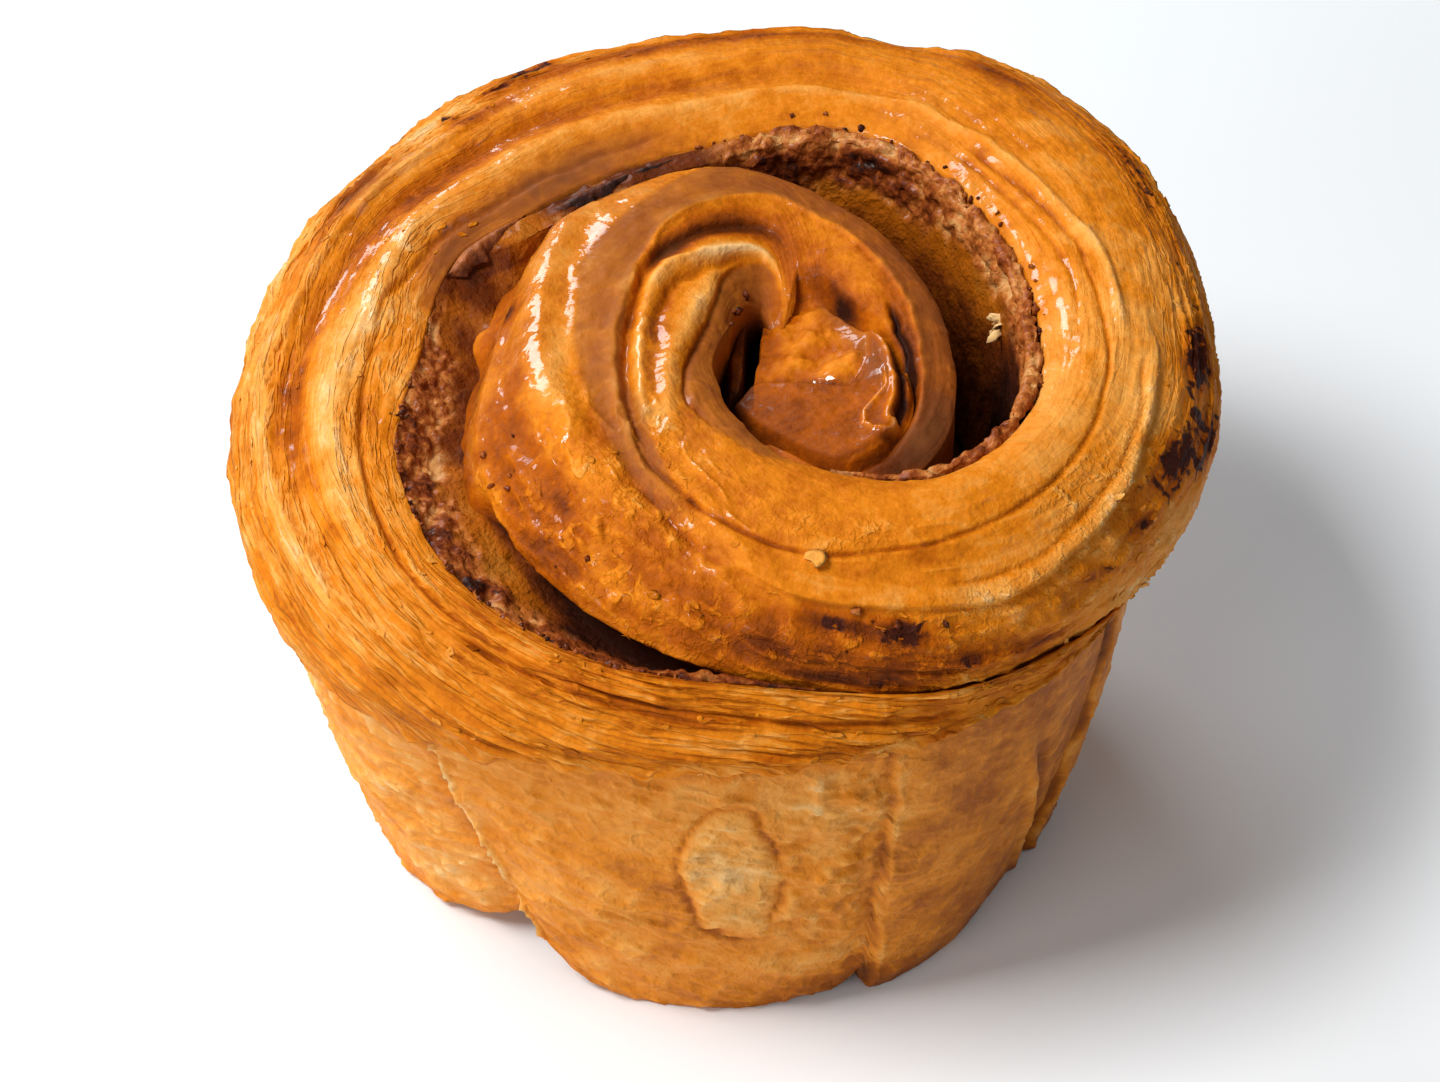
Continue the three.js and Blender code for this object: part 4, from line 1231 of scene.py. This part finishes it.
# darker just under the brown leaf: painted shadow
dark = dark + 0.2 * between(turn, 492, 516, 5) * between(depth, 0.3, 2.5, 0.4)
brown = 0.42 + 0.55 * rough(points, 2.2, 36) - 0.28 * ramp(crumbs, 0.1, 0.6)
brown = brown + 0.08 * between(turn, 536, 600, 8)
brown = brown + 0.35 * between(turn, 415, 462, 10) * between(depth, 0.8, 5, 0.8)
brown = brown + 0.5 * bell(np.hypot((turn - 591) / 3.2, (depth - 1.6) / 1.8), 1)
brown = brown + 0.25 * between(turn, 604, 645, 5)
filling_finish, filling_shader, filling_tree = new_material("cinnamon_crust", 0.6)
place = add_node(filling_tree, "ShaderNodeTexCoord").outputs["Object"]
grain = noise(filling_tree, place, 0.0006, 4, 0.5)
mottle = noise(filling_tree, place, 0.0022, 4, 0.5)
WALL_COLOURS = (
    (0.0, (0.5, 0.26, 0.08)),
    (0.25, (0.38, 0.14, 0.014)),
    (0.5, (0.36, 0.09, 0.002)),
    (0.75, (0.13, 0.024, 0.002)),
    (1.0, (0.03, 0.006, 0.002)),
)
CRUMB_COLOURS = (
    (0.0, (0.6, 0.3, 0.1)),
    (0.25, (0.46, 0.15, 0.03)),
    (0.5, (0.28, 0.063, 0.009)),
    (0.75, (0.13, 0.023, 0.004)),
    (1.0, (0.02, 0.005, 0.003)),
)
dough_value = vary(filling_tree, read_value(filling_tree, "dark"), mottle, 0.3)
crust_value = vary(filling_tree, read_value(filling_tree, "brown"), grain, 0.9)
wall_colour = colours(filling_tree, dough_value, WALL_COLOURS)
crumb_colour = colours(filling_tree, crust_value, CRUMB_COLOURS)
filling_colour = blend(filling_tree, read_value(filling_tree, "crusty"), wall_colour, crumb_colour)
filling_shader.inputs["Specular IOR Level"].default_value = 0.06
filling_shader.inputs["Coat Weight"].default_value = 0.2
filling_shader.inputs["Coat Roughness"].default_value = 0.2
filling_tree.links.new(filling_colour, filling_shader.inputs["Base Color"])
filling_tree.links.new(bump(filling_tree, grain, 0.0004), filling_shader.inputs["Normal"])
filling = new_piece("cinnamon_crust", points.reshape(-1, 3)[kept], faces, filling_finish)
set_values(filling, "dark", dark.ravel()[kept])
set_values(filling, "brown", brown.ravel()[kept])
set_values(filling, "crusty", crusty.ravel()[kept])

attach(filling, "root")
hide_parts("cinnamon_filling")


# ---- Peeled leaves ----
# Two leaves of the sheet's top layer that lifted off the outer turn's inner lip in the oven and baked
# darkest: thin, glossy and curled towards the gap, one of them pointed.

LEAF_THICK = 0.35
# each leaf's name, first and last turn angle, width by turn angle in millimetres, how far it is lifted and
# how far out it starts in millimetres, and how dark it is baked
LEAVES = (
    (
        "dark_leaf", 458, 492,
        ((458, 0), (466, 0.4), (475, 0.7), (484, 1.4), (489, 1), (492, 0)), 0.5, 1.4, 0.85,
    ),
    (
        "brown_leaf", 495, 517,
        ((495, 0), (498, 0.4), (503, 0.8), (509, 1.1), (514, 0.9), (517, 0)), 0.5, 2.2, 0.45,
    ),
)
LEAF_COLOURS = (
    (0.0, (0.5, 0.17, 0.03)),
    (0.35, (0.3, 0.08, 0.014)),
    (0.7, (0.1, 0.023, 0.007)),
    (1.0, (0.02, 0.006, 0.004)),
)

leaf_finish, leaf_shader, leaf_tree = new_material("peeled_leaf", 0.5)
place = add_node(leaf_tree, "ShaderNodeTexCoord").outputs["Object"]
value = vary(leaf_tree, read_value(leaf_tree, "brown"), noise(leaf_tree, place, 0.0016, 4, 0.6), 0.8)
leaf_colour = colours(leaf_tree, value, LEAF_COLOURS)
leaf_tree.links.new(leaf_colour, leaf_shader.inputs["Base Color"])
leaf_tree.links.new(bump(leaf_tree, noise(leaf_tree, place, 0.0007, 3), 0.0003), leaf_shader.inputs["Normal"])
leaf_shader.inputs["Specular IOR Level"].default_value = 0.2
leaf_shader.inputs["Coat Weight"].default_value = 0.08
leaf_shader.inputs["Coat Roughness"].default_value = 0.2

for name, first, last, width, lift, outside, brown in LEAVES:
    turn = np.linspace(first, last, 90)[:, None]
    round_edge = np.linspace(0, 2 * np.pi, 49)[None, :]
    width_here = through(*width)(turn)
    width_here = width_here * (1 + 0.2 * cloud(np.stack([turn / 1.5, 0 * turn, 0 * turn], axis=-1), 1, 81))
    over = -np.cos(round_edge)
    radius = inner_radius(turn) + outside - 1.4 * width_here * (0.5 + 0.5 * over)
    height = inner_height(turn) + lift * ramp(width_here, 0, 1) * (1 - 0.6 * over**2)
    height = height + LEAF_THICK * np.sin(round_edge)
    height = height - 0.5 * width_here * ramp(over, 0, 1)
    points = on_roll(turn + 0 * round_edge, np.stack([radius + 0 * round_edge, height]))
    points = points + 0.3 * rough(points * (1, 1, 0), 2.5, 82)[..., None] * (0, 0, 1)
    kept, faces = welded(points.reshape(-1, 3), grid_faces(*points.shape[:2])[:, ::-1])
    leaf = new_piece(name, points.reshape(-1, 3)[kept], faces, leaf_finish)
    set_values(leaf, "brown", (brown + 0.25 * over + 0 * turn).ravel()[kept])
    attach(leaf, "root")
    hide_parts("cinnamon_filling")


# ---- Loose flakes and crumbs ----
# Flakes of the crust that broke along the layers' edges and lie on it, thin as paper, and small hard crumbs
# of burnt cinnamon sugar, scattered where the filling boiled over.

BIT_RINGS = 6
BIT_SIDES = 9


def bits(name, at, up, along, half_sizes, seed, material):
    """One mesh of many small closed lumps, each a sphere stretched to half sizes, with a random outline."""
    chance = np.random.default_rng(seed)
    count = len(at)
    side = np.cross(up, along)
    side /= np.linalg.norm(side, axis=-1, keepdims=True)
    along = np.cross(side, up)
    height = np.linspace(0, np.pi, BIT_RINGS + 1)[:, None]
    round_it = np.linspace(0, 2 * np.pi, BIT_SIDES + 1)[None, :]
    outline = chance.uniform(0.5, 1.35, (count, 1, BIT_SIDES))
    outline = np.concatenate([outline, outline[..., :1]], axis=-1)
    lumps = chance.uniform(0.7, 1.25, (count, BIT_RINGS + 1, 1))
    wide = np.sin(height) * outline * lumps
    local = np.stack([wide * np.cos(round_it), wide * np.sin(round_it), np.cos(height) + 0 * wide], axis=-1)
    local = local * half_sizes[:, None, None, :]
    local[..., 2] += 0.25 * local[..., 0] ** 2 / np.maximum(half_sizes[:, None, None, 0], 0.1)
    axes = np.stack([along, side, up], axis=1)
    points = at[:, None, None, :] + np.einsum("nijk,nkl->nijl", local, axes)
    one = grid_faces(BIT_RINGS + 1, BIT_SIDES + 1)[:, ::-1]
    faces = (one[None] + (np.arange(count) * (BIT_RINGS + 1) * (BIT_SIDES + 1))[:, None, None]).reshape(-1, 3)
    kept, faces = welded(points.reshape(-1, 3), faces)
    piece = new_piece(name, points.reshape(-1, 3)[kept], faces, material)
    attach(piece, "root")
    return piece, kept // ((BIT_RINGS + 1) * (BIT_SIDES + 1))


def pick_places(grid, regions, seed):
    """Random places on a roll, from (turns, across, count): points, normals, the way along it, its baking."""
    chance = np.random.default_rng(seed)
    turn, across, points, toast_and_shading = grid
    rows, columns = [], []
    for first, last, inner, outer, count in regions:
        rows.append(np.abs(turn[:, :1] - chance.uniform(first, last, count)).argmin(axis=0))
        columns.append(np.abs(across[:1].T - chance.uniform(inner, outer, count)).argmin(axis=0))
    rows, columns = np.concatenate(rows), np.concatenate(columns)
    ahead = np.gradient(points, axis=0)[rows, columns]
    return points[rows, columns], facing(points)[rows, columns], ahead, toast_and_shading[rows, columns]


def tilted(up, amount, seed):
    """Directions turned away from up at random: a seeded normal draw is added, and the sum made length 1."""
    up = up + np.random.default_rng(seed).normal(0, amount, up.shape)
    return up / np.linalg.norm(up, axis=-1, keepdims=True)


places = [
    pick_places(
        ring_grid,
        ((575, 700, 0.12, 1.0, 120), (480, 575, 0.3, 0.9, 40), (345, 480, 0.36, 0.9, 40),
         (500, 600, 0, 0.15, 15)),
        91,
    ),
    pick_places(swirl_grid, ((225, 345, 0.45, 1.0, 40), (300, 345, 0.85, 1.02, 15)), 92),
]
at, up, along, ground = (np.concatenate(group) for group in zip(*places))
chance = np.random.default_rng(93)
half_sizes = np.stack(
    [chance.uniform(0.25, 0.8, len(at)), chance.uniform(0.12, 0.4, len(at)), 0 * at[:, 0] + 0.035], axis=-1
)
half_sizes[0] = (1.1, 1, 0.08)
square_flake = pick_places(swirl_grid, ((282, 283, 0.51, 0.53, 1),), 94)
at[0], up[0], along[0], ground[0] = (group[0] for group in square_flake)
along = along + 0.15 * chance.normal(0, 1, at.shape)
# a tuft of pale crumb that was pulled out of the dough deep in the gap
TUFT = slice(1, 19)
at[TUFT] = (28.7, 7.9, 55) + chance.normal(0, 0.6, (18, 3))
up[TUFT] = chance.normal(0, 1, (18, 3))
ground[TUFT] = 0
half_sizes[TUFT] = chance.uniform(0.6, 1.3, (18, 1)) * (1, 0.4, 0.1)
lying = tilted(up, 0.07, 95)
flakes, owner = bits("crust_flakes", at + 0.03 * up, lying, along, half_sizes, 96, crust_finish)
set_values(flakes, "toast_and_shading", (ground - chance.uniform(-0.05, 0.14, len(at)))[owner])
set_values(flakes, "gloss", chance.uniform(0, 0.3, len(at))[owner])
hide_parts("dough")

places = [
    pick_places(
        ring_grid,
        ((372, 462, -0.15, 0.03, 50), (545, 625, -0.08, 0.02, 60), (540, 560, -0.2, -0.05, 14),
         (345, 372, -0.05, 0.02, 12)),
        97,
    ),
    pick_places(swirl_grid, ((205, 245, 0.85, 1.15, 7), (280, 300, 0.7, 0.85, 5),
                             (100, 125, -0.05, 0.06, 8)), 98),
]
at, up, along, ground = (np.concatenate(group) for group in zip(*places))
chance = np.random.default_rng(99)
half_sizes = chance.uniform(0.12, 0.42, (len(at), 1)) * chance.uniform(0.6, 1.3, (len(at), 3))
lying = tilted(up, 0.5, 100)
crumbs, owner = bits("burnt_crumbs", at + 0.1 * up, lying, along, half_sizes, 101, filling_finish)
set_values(crumbs, "brown", chance.uniform(0.4, 0.95, len(at))[owner])
set_values(crumbs, "crusty", np.ones(len(owner)))
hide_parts("cinnamon_filling")
